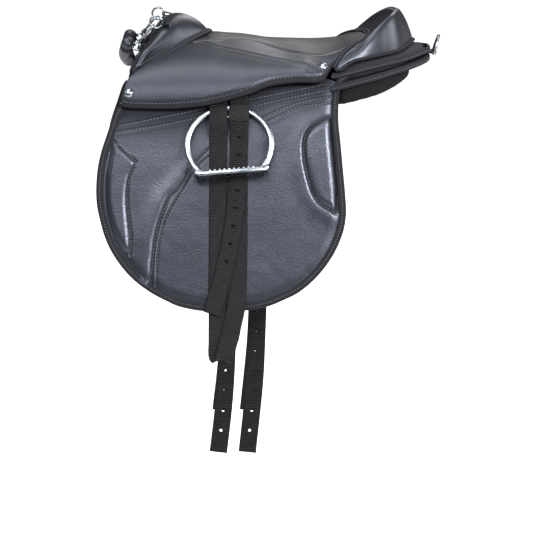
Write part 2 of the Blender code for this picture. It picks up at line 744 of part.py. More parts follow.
def strap_middle(v, layer=0):
    """Height of a strap layer's middle over the flap at depth v."""
    return along(STRAP_RISE, v) + WEB_THICK / 2 + layer * (WEB_THICK + 0.3)


def rear_run_x(v):
    return along(((20, REAR_RUN_X), (300, -34.0), (345, -42.0), (LOOP_BOTTOM, -49.0)), v)


def tail_x(v):
    return along(((20, REAR_RUN_X), (75, -31.5), (103, -32.5), (153, -35), (178, -37), (201, -40),
                  (224, -44), (249, -49), (285, -58), (TAIL_END, -68)), v)


def leather_loop():
    """Both hanging runs of the stirrup leather with the loop at the bottom."""
    start_front, start_rear = hinge_v(FRONT_RUN_X) + GAP, hinge_v(REAR_RUN_X) + GAP
    depths = (start_front,) + tuple(v for v in STRAP_STEPS if v > 36) + (280, 295, 340)
    front = [(FRONT_RUN_X - 0.003 * v, v, strap_middle(v)) for v in depths]
    low = strap_middle(LOOP_BOTTOM)
    turn = [(-61.5, LOOP_BOTTOM - 14, low), (-61, LOOP_BOTTOM - 5, low + 0.4),
            (-58, LOOP_BOTTOM - 1.5, low + 1.8), (-55, LOOP_BOTTOM, low + 4.2),
            (-52, LOOP_BOTTOM - 1.5, low + 6.6), (-49.5, LOOP_BOTTOM - 6, low + 7.6),
            (-48, LOOP_BOTTOM - 16, low + 6.0)]
    rear = []
    for v in (352, 335, 322, 312, 304, 296, 285, 270) + STRAP_STEPS[::-1]:
        over = along(((296, 0.0), (312, 2.4), (400, 2.6)), v)
        rear.append((rear_run_x(v), v, strap_middle(v) + over))
    rear.append((REAR_RUN_X, start_rear, strap_middle(start_rear)))
    return ribbon("near_leather_loop", front + turn + rear, WEB_WIDTH, WEB_THICK, WEBBING,
                  (HINGE_SLOPE, HINGE_SLOPE))


def leather_tail():
    start = hinge_v(REAR_RUN_X) + GAP
    depths = (start,) + STRAP_STEPS + (270, 285, 296, TAIL_END)
    path = [(tail_x(v), v, strap_middle(v, 1)) for v in depths]
    tail = ribbon("near_leather_tail", path, WEB_WIDTH, WEB_THICK, WEBBING, (HINGE_SLOPE, 0.0))
    for n in range(TAIL_HOLES):
        v = TAIL_FIRST_HOLE + TAIL_HOLE_PITCH * n
        place = on_flap(tail_x(v), v, strap_middle(v, 1))
        out = (on_flap(0, 0, 1) - on_flap(0, 0, 0)).normalized()
        down = (on_flap(0, 1, 0) - on_flap(0, 0, 0)).normalized()
        tool = rod("tail_hole_%d" % n, HOLE_RADIUS, 8, frame_at(place, down, out.cross(down), out),
                   sides=8, collection=CUTTERS)
        boolean(tail, tool, "DIFFERENCE")
    return tail


def leather_top():
    """Upper end of the leather: both runs folded over the stirrup bar."""
    middle = 0.5 * (FRONT_RUN_X + REAR_RUN_X)
    wide = REAR_RUN_X - FRONT_RUN_X + WEB_WIDTH
    bar_w = GAP + WEB_THICK + GAP + BAR_RADIUS
    front_w = strap_middle(BAR_V)
    turn = front_w - bar_w
    path = [(middle, v, strap_middle(v)) for v in (hinge_v(middle) - GAP, 22, 12, 4)]
    for n in range(7):
        angle = math.pi * n / 6
        path.append((middle, BAR_V - turn * math.sin(angle), bar_w + turn * math.cos(angle)))
    path += [(middle, BAR_V + 6, GAP + WEB_THICK / 2), (middle, 10, GAP + WEB_THICK / 2)]
    top = ribbon("near_leather_top", path, wide, WEB_THICK, WEBBING, (HINGE_SLOPE, 0.0))
    slot = frame_at(on_flap(middle, 24, 4), Vector((1, 0, 0)),
                    (on_flap(0, 1, 0) - on_flap(0, 0, 0)).normalized(),
                    (on_flap(0, 0, 1) - on_flap(0, 0, 0)).normalized())
    tool = block("leather_slot", (wide - 2 * WEB_WIDTH, 44, 30), slot, collection=CUTTERS)
    boolean(top, tool, "DIFFERENCE")
    end = hinge_v(REAR_RUN_X) - GAP
    stub = ribbon("tail_top", [(REAR_RUN_X, v, strap_middle(v, layer)) for v, layer in
                               ((end, 1.1), (22, 1.1), (16, 1.1), (11, 1), (5, 0.6),
                                (1, 0.35))],
                  WEB_WIDTH - 0.6, WEB_THICK, WEBBING, (HINGE_SLOPE, 0.0))
    move_to_cutters(stub)
    boolean(top, stub, "UNION")
    return top


def buckle():
    """Flat buckle with its tongue, where the tail leaves the rear run."""
    w = strap_middle(18, 1) + WEB_THICK / 2 + GAP + 1.0
    outer_u, outer_v, wall = WEB_WIDTH / 2 + 3.5, 7.5, 2.6
    out = (on_flap(0, 0, 1) - on_flap(0, 0, 0)).normalized()
    down = (on_flap(0, 1, 0) - on_flap(0, 0, 0)).normalized()
    frame = frame_at(on_flap(REAR_RUN_X, 10, w), Vector((1, 0, 0)), down, out)
    made = block("near_buckle", (outer_u * 2, outer_v * 2, 2.0), frame)
    tool = block("buckle_window", ((outer_u - wall) * 2, (outer_v - wall) * 2, 6), frame,
                 collection=CUTTERS)
    boolean(made, tool, "DIFFERENCE")
    tongue_frame = frame_at(on_flap(REAR_RUN_X, 10, w + 1.2), Vector((1, 0, 0)), down, out)
    tongue = block("buckle_tongue", (2.2, outer_v * 2 - 1, 2.0), tongue_frame, collection=CUTTERS)
    boolean(made, tongue, "UNION")
    return made


def keeper():
    """Webbing sleeve around the rear run and the tail, just below the skirt."""
    start = hinge_v(REAR_RUN_X) + 2.6
    rings_out, rings_in = [], []
    for v in (start,) + tuple(step for step in STRAP_STEPS if 34 < step < 55) + (55,):
        half = WEB_WIDTH / 2 + 0.5
        shift = HINGE_SLOPE * WEB_WIDTH / 2 if v == start else 0.0
        for rings, wall in ((rings_out, KEEPER_WALL), (rings_in, 0.0)):
            ring = []
            for a, b in ((-1, -1), (1, -1), (1, 1), (-1, 1)):
                depth = v - a * shift
                middle = strap_middle(depth, 0.5)
                ring.append(on_flap(REAR_RUN_X + 0.3 + a * (half + wall), depth,
                                    middle + b * (KEEPER_INSIDE / 2 + wall)))
            rings.append(ring)
    rings = rings_out + rings_in[::-1]
    return loft("near_keeper", rings, WEBBING, closed=True)


def stirrup_bar():
    """Steel bar under the skirt that carries the leather, with a foot at each end."""
    middle = 0.5 * (FRONT_RUN_X + REAR_RUN_X)
    w = GAP + WEB_THICK + GAP + BAR_RADIUS
    half = BAR_LENGTH / 2
    foot = GAP + BAR_RADIUS
    path = [(-half - 9, foot), (-half - 3, foot), (-half, w), (half, w), (half + 3, foot),
            (half + 9, foot)]
    return tube("near_stirrup_bar", [on_flap(middle + u, BAR_V, h) for u, h in path], BAR_RADIUS,
                STEEL)


# Stirrup iron
def iron_frame():
    """Axes of the iron: across, down its plane, and out of it; the origin is the crown."""
    down_flap = (on_flap(0, 1, 0) - on_flap(0, 0, 0)).normalized()
    out_flap = (on_flap(0, 0, 1) - on_flap(0, 0, 0)).normalized()
    down = down_flap * math.cos(IRON_LEAN) + out_flap * math.sin(IRON_LEAN)
    across = Vector((1, 0, 0))
    rolled = across * math.cos(IRON_ROLL) - down * math.sin(IRON_ROLL)
    down = down * math.cos(IRON_ROLL) + across * math.sin(IRON_ROLL)
    return frame_at(on_flap(IRON_X, IRON_TOP_V, IRON_TOP_W), rolled, down, rolled.cross(down))


def stirrup_iron():
    frame = iron_frame()
    line = []
    for n in range(33):
        angle = math.radians(-218 + 256 * n / 32)
        line.append(Vector((IRON_RADIUS * math.cos(angle),
                            IRON_HEIGHT + IRON_HEIGHT * math.sin(angle))))
    foot = Vector((TREAD_HALF, TREAD_T))
    line = [Vector((-foot.x, foot.y))] + line + [foot]
    rings = []
    for i, p in enumerate(line):
        if i in (0, len(line) - 1):
            out = Vector((math.copysign(1, p.x), 0.0))
        else:
            run = line[i + 1] - line[i - 1]
            out = Vector((run.y, -run.x)).normalized()
        half, deep = IRON_BAR / 2, IRON_DEPTH / 2
        ring = []
        for a, b in ((-1, -0.5), (-0.55, -1), (0.55, -1), (1, -0.5), (1, 0.5), (0.55, 1),
                     (-0.55, 1), (-1, 0.5)):
            flat = p + out * a * half
            ring.append(frame @ Vector((flat.x, flat.y, b * deep)))
        rings.append(ring)
    iron = loft("near_stirrup_iron", rings, STEEL)

    outline = [(-TREAD_HALF - 3, TREAD_THICK / 2), (-TREAD_HALF - 3, -TREAD_THICK / 2)]
    first = -TOOTH_PITCH * TOOTH_COUNT / 2
    for n in range(TOOTH_COUNT):
        a = first + n * TOOTH_PITCH
        outline += [(a + 0.1 * TOOTH_PITCH, -TREAD_THICK / 2),
                    (a + 0.5 * TOOTH_PITCH, -TREAD_THICK / 2 - TOOTH_HEIGHT),
                    (a + 0.9 * TOOTH_PITCH, -TREAD_THICK / 2)]
    outline += [(TREAD_HALF + 3, -TREAD_THICK / 2), (TREAD_HALF + 3, TREAD_THICK / 2)]
    rings = [[frame @ Vector((a, TREAD_T + t, q)) for a, t in outline]
             for q in (-TREAD_DEPTH / 2, TREAD_DEPTH / 2)]
    tread = loft("iron_tread", rings, STEEL, collection=CUTTERS)
    boolean(iron, tread, "UNION")

    eye = frame @ Matrix.Translation((0, EYE_DROP / 2, 0))
    outer = block("iron_eye", (2 * EYE_HALF, EYE_DROP, IRON_DEPTH * 0.8), eye, collection=CUTTERS)
    boolean(iron, outer, "UNION")
    slot_top = IRON_BAR / 2 - 0.2
    window = frame @ Matrix.Translation((0, (slot_top + EYE_DROP - EYE_WALL) / 2, 0))
    slot = block("iron_slot", (2 * (EYE_HALF - EYE_WALL), EYE_DROP - EYE_WALL - slot_top, 20),
                 window, collection=CUTTERS)
    boolean(iron, slot, "DIFFERENCE")
    return iron


# Girth straps
def girth_top():
    """Middle of the straps' upper end, just inside the flap head."""
    return on_flap(0, GIRTH_TOP_V, -FLAP_THICK - GAP - GIRTH_THICK / 2)


def girth_strap(name, route):
    top = girth_top()
    lower_y = top.y - GIRTH_LEAN_IN * 0.5
    levels = [top.z - 1.0, -120, -240] + spaced(GIRTH_CLEAR_Z, GIRTH_END_Z, 6)
    rings = []
    for z in levels:
        lean = max(0.0, (z - GIRTH_CLEAR_Z) / (top.z - GIRTH_CLEAR_Z))
        y = lower_y + GIRTH_LEAN_IN * 0.5 * lean
        x = along([(-level, place) for level, place in route], -z)
        ring = []
        for a, b in ((-1, -1), (1, -1), (1, 1), (-1, 1)):
            ring.append((x + a * WEB_WIDTH / 2, y + b * GIRTH_THICK / 2, z))
        rings.append(ring)
    strap = loft(name, rings, WEBBING)
    strap.data.shade_flat()
    for n in range(GIRTH_HOLES):
        z = GIRTH_END_Z + GIRTH_HOLE_END + GIRTH_HOLE_PITCH * n
        x = along([(-level, place) for level, place in route], -z)
        frame = frame_at(Vector((x, lower_y, z)), Vector((1, 0, 0)), Vector((0, 0, 1)),
                         Vector((0, -1, 0)))
        tool = rod("%s_hole_%d" % (name, n), HOLE_RADIUS, 10, frame, sides=8, collection=CUTTERS)
        boolean(strap, tool, "DIFFERENCE")
    return strap


# Metal fittings
def snap_axes():
    down = Vector((-math.cos(SNAP_LEAN), 0, -math.sin(SNAP_LEAN)))
    across = Vector((math.sin(SNAP_LEAN), 0, -math.cos(SNAP_LEAN)))
    return down, across


def snap_point(s, y):
    """Place s along the near snap hook from the ring's wire, and y towards the middle."""
    down, _ = snap_axes()
    centre = Vector((RING_X, -RING_Y, RING_Z)) + down * RING_RADIUS
    return centre + down * s + Vector((0, y, 0))


def ring(name, centre, radius, wire, normal, count=24):
    """Wire ring round the given normal."""
    turn = Vector((0, 0, 1)).rotation_difference(Vector(normal)).to_matrix()
    points = [Vector(centre) + turn @ Vector((radius * math.cos(2 * math.pi * n / count),
                                               radius * math.sin(2 * math.pi * n / count), 0))
              for n in range(count)]
    return tube(name, points, wire, STEEL, cyclic=True)


def snap_body():
    """Hook and swivel barrel."""
    top = -(RING_WIRE + HOOK_WIRE + 0.35)
    line = [(HOOK_LENGTH + 2, 0.0), (HOOK_LENGTH - 1, 1.2), (HOOK_LENGTH - 4, HOOK_HALF)]
    line += [(top + HOOK_HALF + 3, HOOK_HALF)]
    for n in range(7):
        angle = math.radians(0 + 180 * n / 6)
        line.append((top + HOOK_HALF - HOOK_HALF * math.sin(angle), HOOK_HALF * math.cos(angle)))
    line.append((top + HOOK_HALF + 2.5, -HOOK_HALF))
    body = tube("near_snap_body", [snap_point(s, y) for s, y in line], HOOK_WIRE, STEEL)
    down, across = snap_axes()
    frame = frame_at(snap_point(HOOK_LENGTH + BARREL_LENGTH / 2, 0), across, Vector((0, 1, 0)),
                     down)
    if frame.determinant() < 0:
        frame = frame_at(frame.translation, -across, Vector((0, 1, 0)), down)
    barrel = rod("snap_barrel", BARREL_RADIUS, BARREL_LENGTH, frame, sides=12, collection=CUTTERS)
    boolean(body, barrel, "UNION")
    return body


def snap_gate():
    """Sprung gate that closes the hook."""
    tip = -(RING_WIRE + HOOK_WIRE + 0.35) + HOOK_HALF + 2.5
    points = [snap_point(HOOK_LENGTH - 1.2, -HOOK_HALF + 0.4), snap_point(tip + 2, -HOOK_HALF),
              snap_point(tip + 0.5, -HOOK_HALF)]
    return tube("near_snap_gate", points, HOOK_WIRE * 0.85, STEEL)


def snap_eye():
    """Swivel eye below the barrel, which the grab strap's end loop passes through."""
    centre_s = HOOK_LENGTH + BARREL_LENGTH + 3.2 + EYE_RING_RADIUS
    eye = ring("near_snap_eye", snap_point(centre_s, 0), EYE_RING_RADIUS, EYE_RING_WIRE,
               (0, 1, 0))
    down, across = snap_axes()
    frame = frame_at(snap_point(HOOK_LENGTH + BARREL_LENGTH + GAP + 1.9, 0), across,
                     down.cross(across), down)
    stem = rod("eye_stem", 1.9, 3.8, frame, sides=8, collection=CUTTERS)
    boolean(eye, stem, "UNION")
    return eye


def grab_strap():
    """Padded roll with a sewn loop at each end through the swivel eyes."""
    down, across = snap_axes()
    centre_s = HOOK_LENGTH + BARREL_LENGTH + 3.2 + EYE_RING_RADIUS
    wire = snap_point(centre_s, 0) - across * EYE_RING_RADIUS
    loop_centre = wire - across * 0.6
    end = loop_centre - across * (STRAP_LOOP_RADIUS + 5.0) + Vector((0, 2.0, 0))
    half = [end, Vector((-190, -38, 41)), Vector((-193, -22, 29)), Vector((-189.5, -8, 19.5))]
    path = through(half + [Vector((p.x, -p.y, p.z)) for p in half[::-1]], 3)
    rings = []
    for i, p in enumerate(path):
        run = (path[min(i + 1, len(path) - 1)] - path[max(i - 1, 0)]).normalized()
        side = run.cross(Vector((0, 0, 1)) if abs(run.z) < 0.9 else Vector((1, 0, 0))).normalized()
        up = side.cross(run)
        last = min(i, len(path) - 1 - i)
        radius = ROLL_RADIUS * (0.55, 0.85, 0.97)[last] if last < 3 else ROLL_RADIUS
        rings.append([p + (side * math.cos(a) + up * math.sin(a)) * radius
                      for a in (2 * math.pi * n / 12 for n in range(12))])
    strap = loft("grab_strap", rings, WEBBING)
    for sign, name in ((1, "near"), (-1, "off")):
        centre = Vector((loop_centre.x, loop_centre.y * sign, loop_centre.z))
        loop = ring(name + "_strap_loop", centre, STRAP_LOOP_RADIUS, STRAP_LOOP_WIRE, down, 14)
        move_to_cutters(loop)
        boolean(strap, loop, "UNION")
    return strap


def ring_tab():
    """Webbing tab that holds the ring on the pommel."""
    lean = math.radians(12)
    x_axis = Vector((math.cos(lean), 0, -math.sin(lean)))
    z_axis = Vector((math.sin(lean), 0, math.cos(lean)))
    hold = Vector((RING_X + RING_RADIUS - 0.2, -RING_Y, RING_Z - 0.1))
    frame = frame_at(hold + x_axis * 3.2, x_axis, Vector((0, 1, 0)), z_axis)
    tab = block("near_ring_tab", (13.0, 8.0, 6.0), frame, WEBBING)
    bore = rod("ring_tab_bore", RING_WIRE + 1.0, 20,
               frame_at(hold, Vector((1, 0, 0)), Vector((0, 1, 0)), Vector((0, 0, 1))), sides=12,
               collection=CUTTERS)
    boolean(tab, bore, "DIFFERENCE")
    return tab


def crupper_dee():
    lift = Vector((math.sin(CRUPPER_LEAN), 0, math.cos(CRUPPER_LEAN)))
    base = Vector((CRUPPER_X, 0, CRUPPER_Z))
    points = [base + Vector((0, y, 0)) for y in (-CRUPPER_HALF, 0, CRUPPER_HALF)]
    for n in range(1, 12):
        angle = math.pi * n / 12
        points.append(base + Vector((0, CRUPPER_HALF * math.cos(angle), 0))
                      + lift * CRUPPER_REACH * math.sin(angle))
    return tube("crupper_dee", points, CRUPPER_WIRE, STEEL, cyclic=True)


def crupper_tab():
    """Webbing tab sewn between the pad and the cantle base, folded round the dee's bar."""
    wide = 20.0
    low, thick = base_top(PAD_REAR, 0) + GAP + 0.2, 2.0
    plate = block("crupper_tab", (28.0, wide, thick),
                  Matrix.Translation((CRUPPER_X - 16.5, 0, low + thick / 2)), WEBBING)
    turn = frame_at(Vector((CRUPPER_X, 0, CRUPPER_Z)), Vector((1, 0, 0)), Vector((0, 0, -1)),
                    Vector((0, 1, 0)))
    fold = rod("tab_fold", CRUPPER_WIRE + 1.6, wide, turn, collection=CUTTERS)
    boolean(plate, fold, "UNION")
    bore = rod("tab_bore", CRUPPER_WIRE + 0.35, wide + 10, turn, collection=CUTTERS)
    boolean(plate, bore, "DIFFERENCE")
    return plate


def stud(name, place, normal):
    """Domed nickel stud."""
    bm = bmesh.new()
    bmesh.ops.create_uvsphere(bm, u_segments=12, v_segments=8, radius=STUD_RADIUS)
    bmesh.ops.scale(bm, vec=(1, 1, STUD_HEIGHT / STUD_RADIUS), verts=bm.verts)
    cut = bmesh.ops.bisect_plane(bm, geom=bm.verts[:] + bm.edges[:] + bm.faces[:],
                                 plane_co=(0, 0, 0), plane_no=(0, 0, -1), clear_outer=True)
    rim = [e for e in cut["geom_cut"] if isinstance(e, bmesh.types.BMEdge)]
    bmesh.ops.contextual_create(bm, geom=rim)
    turn = Vector((0, 0, 1)).rotation_difference(normal).to_matrix().to_4x4()
    turn.translation = place + normal * 0.8
    bmesh.ops.transform(bm, matrix=Matrix.Scale(MM, 4) @ turn, verts=bm.verts)
    return from_bmesh(name, bm, STEEL)


def skirt_stud(name, x, drop):
    """Stud on the skirt at x, the given share of the way down from the seam."""
    def place(at, share):
        p = bezier(*skirt_section(at), share)
        return Vector((at, p.x, p.y))

    normal = (place(x, drop + 0.05) - place(x, drop - 0.05)).cross(
        place(x + 4, drop) - place(x - 4, drop)).normalized()
    if normal.y > 0:
        normal = -normal
    return stud(name, place(x, drop), normal)


def add_pivots():
    """Put the moving pieces of both sides, the grab handle and the dee on their joints' axes."""
    piece = bpy.data.objects
    down, _ = snap_axes()
    fold_place = on_flap(FOLD_X, hinge_v(FOLD_X), FOLD_HEIGHT)
    fold_line = on_flap(-1, HINGE_SLOPE) - on_flap(0, 0)
    iron = iron_frame()
    hook = snap_point(HOOK_LENGTH - 1.2, 0.4 - HOOK_HALF)
    gates = []
    for side, sign in (("near", 1), ("off", -1)):
        flip = Matrix.Diagonal((1, sign, 1))
        turned = flip * sign
        parts = [piece["%s_%s" % (side, name)] for name in
                 ("flap", "flap_binding", "knee_pad", "thigh_pad")]
        iron_pivot = pivot(side + "_iron_axis", flip @ (iron @ Vector((0, IRON_BAR, 0))),
                           turned @ -iron.col[0].to_3d(), [piece[side + "_stirrup_iron"]])
        leather = [piece["%s_%s" % (side, name)] for name in
                   ("leather_loop", "leather_tail", "keeper")]
        leather_pivot = pivot(side + "_leather_axis", flip @ fold_place, turned @ fold_line,
                              leather + [iron_pivot])
        pivot(side + "_flap_axis", flip @ fold_place, turned @ fold_line, parts + [leather_pivot])
        for name, route in (("front", FRONT_GIRTH), ("rear", REAR_GIRTH)):
            top = girth_top() + Vector((route[0][1], 0, -1))
            pivot("%s_%s_girth_axis" % (side, name), flip @ top, (-sign, 0, 0),
                  [piece["%s_%s_girth_strap" % (side, name)]])
        gates.append(pivot(side + "_gate_axis", flip @ hook,
                           turned @ (-down).cross(Vector((0, 1, 0))),
                           [piece[side + "_snap_gate"]]))
    handle = [piece["%s_%s" % (side, name)] for side in ("near", "off")
              for name in ("ring", "snap_body", "snap_eye")]
    pivot("grab_handle_axis", (RING_X, 0, RING_Z), (0, 1, 0),
          [piece["grab_strap"]] + handle + gates)
    pivot("crupper_dee_axis", (CRUPPER_X, 0, CRUPPER_Z), (0, 1, 0), [piece["crupper_dee"]])


def build():
    base_pad()
    seat_foam()
    seat_cover()
    cantle_base()
    pommel_roll()
    cantle_roll()
    edge_tape("cantle_tape_low", lambda x: along(BASE_EDGE_Z, x), lambda x: along(REAR_HALF, x),
              0.7)
    edge_tape("cantle_tape_high", lambda x: along(CANTLE_PAD, x)[1],
              lambda x: along(CANTLE_PAD, x)[0], 1.0)
    pairs = [under_panel(), skirt(), skirt_binding(), flap_head(), flap(), flap_binding(),
             padded_block("near_knee_pad", KNEE_OUTLINE),
             padded_block("near_thigh_pad", THIGH_OUTLINE), stirrup_bar(), leather_top(),
             buckle(), leather_loop(), leather_tail(), keeper(), stirrup_iron(),
             girth_strap("near_front_girth_strap", FRONT_GIRTH),
             girth_strap("near_rear_girth_strap", REAR_GIRTH), snap_body(), snap_gate(),
             snap_eye(), ring("near_ring", (RING_X, -RING_Y, RING_Z), RING_RADIUS, RING_WIRE,
                              (0, 1, 0)),
             ring_tab(), skirt_stud("near_front_stud", -184, 0.62),
             skirt_stud("near_rear_stud", 85, 0.51)]
    for item in pairs:
        mirrored(item, item.name.replace("near_", "off_", 1))
    grab_strap()
    crupper_dee()
    crupper_tab()
    add_pivots()


build()
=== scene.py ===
"""Child's first saddle pad, finished: leather, webbing, tape, mesh and polished metal.

Tables and helpers are in millimetres and meshes in metres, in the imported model's frame:
+X to the horse's tail, +Z up, near side -Y. Near pieces are made here and mirrored for the off
side. On a flap, u runs along X, v down its slope and w out of its face.
"""
import math

import bmesh
import bpy
from mathutils import Matrix, Vector, kdtree, noise


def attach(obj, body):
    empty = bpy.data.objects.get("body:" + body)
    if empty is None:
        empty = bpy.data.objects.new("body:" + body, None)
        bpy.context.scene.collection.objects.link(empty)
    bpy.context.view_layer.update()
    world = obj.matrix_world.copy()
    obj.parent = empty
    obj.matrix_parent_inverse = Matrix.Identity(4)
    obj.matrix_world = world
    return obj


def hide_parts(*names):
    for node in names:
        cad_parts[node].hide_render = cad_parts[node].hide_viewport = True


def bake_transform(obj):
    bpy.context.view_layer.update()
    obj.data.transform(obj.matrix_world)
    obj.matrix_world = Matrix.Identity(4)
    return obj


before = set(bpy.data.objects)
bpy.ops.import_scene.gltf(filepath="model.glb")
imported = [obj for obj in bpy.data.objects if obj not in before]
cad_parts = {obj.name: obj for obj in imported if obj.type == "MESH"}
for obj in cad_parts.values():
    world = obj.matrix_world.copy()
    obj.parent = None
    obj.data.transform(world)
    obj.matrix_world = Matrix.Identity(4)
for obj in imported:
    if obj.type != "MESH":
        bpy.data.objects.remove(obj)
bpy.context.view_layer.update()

MM = 0.001
GAP = 0.35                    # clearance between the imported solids
LEAN = math.radians(19.0)     # the flaps' outward lean
FLAP_TOP_Y, FLAP_THICK = 118.0, 5.0
HINGE_V0, HINGE_SLOPE = 22.4, 0.2055      # fold line: its depth at x = 0, its rise to the tail
PANEL_MIDDLE = (-50, 160)     # place on the flap that the rings of its leather close in on
PANEL_RINGS, PANEL_PITCH = 148, 1.7       # rings on its face, and the step round them
WEB_WIDTH, WEB_THICK = 25.0, 1.8
RIB = 3.3                     # pitch of the webbing's ribs, drawn coarse enough to show
RIB_HEIGHT = 0.38
FRONT_RUN_X, REAR_RUN_X = -60.0, -32.0
LOOP_BOTTOM, TAIL_END = 384.0, 322.0
TAIL_FIRST_HOLE, TAIL_HOLE_PITCH, TAIL_HOLES = 76.0, 24.7, 8
BAR_V, BAR_RADIUS = -6.0, 1.7             # stirrup bar: its depth on the flap plane
HOLE_RADIUS, RIM_RADIUS, RIM_WIRE = 2.1, 2.35, 0.38
GIRTH_END, GIRTH_STRAIGHT = -526.0, -335.0
GIRTH_FIRST_HOLE, GIRTH_HOLE_PITCH, GIRTH_HOLES = 32.0, 29.0, 8
# From and to, along the saddle
SEAT_X, SKIRT_X, SKIRT_TAPE_X, WELT_X = (-100, 151), (-194, 130), (-195, 133), (-97, 140)
COVER_THICK, SKIRT_THICK, SKIRT_TAPE = 2.5, 3.5, 9.0
POMMEL_HALF, CANTLE_STEPS, CANTLE_MIDDLE = 101, 56, 5    # the middle is CANTLE's last row
EDGE_TAPE_X = (97, 233)       # tapes round the rear edge
BINDING_WIDTH = 10.0
GRAB_RADIUS, GRAB_STEP = 9.3, 1.6
IRON_CROWN, IRON_LEAN, IRON_ROLL = (-49.5, 34.5, 4.3), math.radians(8.0), math.radians(5.0)
IRON_RADIUS, IRON_HEIGHT, TREAD_V, TREAD_WIDTH = 58.0, 54.0, 95.0, 19.4
RING_PLACE, RING_RADIUS, RING_WIRE = Vector((-148.5, -50.0, 77.6)), 8.6, 1.4
SNAP_LEAN = math.radians(51.0)            # below the horizontal, towards the front
HOOK_TOP, HOOK_HALF, HOOK_LENGTH, BARREL_LENGTH = -3.35, 5.0, 20.0, 7.0
EYE_S, EYE_RADIUS = 35.4, 5.2             # swivel eye's place down the hook
DEE_BAR, DEE_HEIGHT, DEE_HALF, DEE_LEAN = Vector((243.8, 0, 29.5)), 24, 13, math.radians(17)
CAMERA_TILT, CAMERA_AWAY, PIXEL, PHOTO_SIDE = math.radians(8), 4.5, 0.001425, 533
AIM_RIGHT, AIM_DOWN = 4.5, 194.5          # the picture's middle from the frame's origin, pixels
FLOOR_Z = -0.62
# Softboxes: name, place, width and height in metres, power in watts
SOFTBOXES = (("right_softbox", (0.9, -1.3, 0.75), (0.5, 0.5), 65),
             ("front_softbox", (-0.45, -1.3, 1.05), (1.2, 0.5), 32),
             ("tail_softbox", (1.9, 0.1, 0.7), (0.7, 0.9), 26),
             ("head_softbox", (-1.8, -0.3, 1.1), (0.7, 0.7), 10),
             ("rear_softbox", (0.8, 2.4, 1.8), (1.4, 1.4), 30))

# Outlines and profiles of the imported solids, rows (x, values...). POMMEL's rows are across the
# saddle: y, then x and z of the roll's rear foot, ridge and front foot. CANTLE's rows go from the
# roll's near end to the middle, with places on its inner foot, rim and outer foot.
REAR_HALF = ((109, 121), (120, 119), (135, 114), (164, 101), (186, 85), (203, 69), (220, 45),
             (229, 26), (233, 10))
BASE_EDGE_Z = ((-172, -4), (60, -6), (95, -3), (108, 0), (135, 6), (164, 12), (186, 17),
               (203, 20), (233, 25))
SEAM = ((-196, 130, -22), (-191, 126, -6), (-187, 118, 5), (-178, 106, 15), (-159, 89.5, 27),
        (-125, 63.5, 41), (-100, 48, 48.5), (-75, 42, 51), (-59, 39, 51), (-36, 28, 52),
        (-12, 29, 49), (11, 44, 43), (34, 62, 38), (57, 76, 36), (80, 84, 35), (98, 80, 38),
        (112, 73, 42), (136, 60, 50.5), (140, 55, 51), (146, 41, 52.3), (151, 18, 53.6))
SKIRT_EDGE = ((-196, 135, -28.5), (-181, 135.5, -31.5), (-123, 138.5, -31.8), (-75, 144, -26),
              (-40, 145, -17), (-16, 143, -10), (11, 136, 0), (45, 131, 4), (84, 128, 7),
              (96, 112, 22), (109, 93, 36), (123, 77, 45), (136, 64, 50))
SEAT_CROWN = ((-101, 48.9), (-96, 50.8), (-90, 52.6), (-84, 54.2), (-79, 55.4), (-75, 57),
              (-68, 57.3), (-60, 57), (-30, 53.5), (5, 49.5), (35, 48), (70, 46.5), (104, 48),
              (122, 50.5), (138, 52.2), (151, 54))
POMMEL = ((0, -75, 60, -118, 84.5, -152, 62), (15, -84, 58, -122, 83.5, -153, 60),
          (30, -96, 54, -128, 80, -155, 55), (45, -109, 48.5, -134, 74, -157, 50),
          (60, -123, 42.5, -143, 63, -162, 43), (75, -142, 34.5, -154, 52, -169, 33),
          (90, -161, 26, -166, 41, -175, 27), (101, -174, 17.5, -175, 24, -180, 17))
CANTLE = (((100, 112, 21), (104, 114, 25), (106, 117, 18)),
          ((113, 92, 38), (127, 93, 43), (124, 107, 29)),
          ((126, 77, 46.5), (146, 81, 61), (147, 98, 34)),
          ((140, 60, 51.5), (163, 66, 76), (171, 83, 37)),
          ((149.5, 34, 53.8), (180, 42, 87.5), (195, 57, 40)),
          ((153, 0, 55), (189, 0, 91), (214, 0, 47)))
CANTLE_PAD = ((104, 111, 13), (125, 112, 19), (147, 105, 24), (170, 93, 28), (190, 79, 31),
              (207, 60, 33.5), (220, 41, 36), (229, 22, 37))
FLAP_OUTLINE = ((-213, 66), (-222, 94), (-227, 118), (-229, 144), (-228, 168), (-224, 188),
                (-217, 213), (-207, 235), (-192, 257), (-176, 274), (-155, 290), (-133, 302),
                (-112, 311), (-80, 317), (-50, 318), (-22, 316), (6, 311), (29, 302),
                (52, 290), (76, 269), (97, 241), (111, 210), (116, 183), (115, 155),
                (112, 120), (109, 86), (106, 55), (106, 30), (107, 1))
HEAD_OUTLINE = ((-212, 64), (-205, 41), (-195, 23), (-186, 12), (-150, 2), (-100, -9),
                (-60, -14), (20, -16), (70, -14), (95, -9), (106, -4))
KNEE_OUTLINE = ((-204, 81), (-174, 109), (-181, 128), (-185, 150), (-185, 175), (-182, 205),
                (-181, 230), (-190, 233), (-203, 212), (-211, 187), (-215, 160), (-214, 125),
                (-209, 99))
THIGH_OUTLINE = ((95, 49), (76, 56), (65, 65), (59, 78), (58, 96), (60, 115), (65, 136),
                 (71, 154), (80, 167), (93, 175), (103, 179), (104, 150), (101, 115), (98, 80))
STRAP_RISE = ((-8, 6.1), (10, 6.1), (27, 7.3), (32, 8.4), (38, 9.4), (50, 10.1), (57, 9.0),
              (76, 2.6), (92, 0.5), (270, 0.5), (295, 1.4), (400, 1.4))
FRONT_GIRTH = ((-30, -42), (-240, -45), (-391, -50), (-455, -54), (-526, -62))
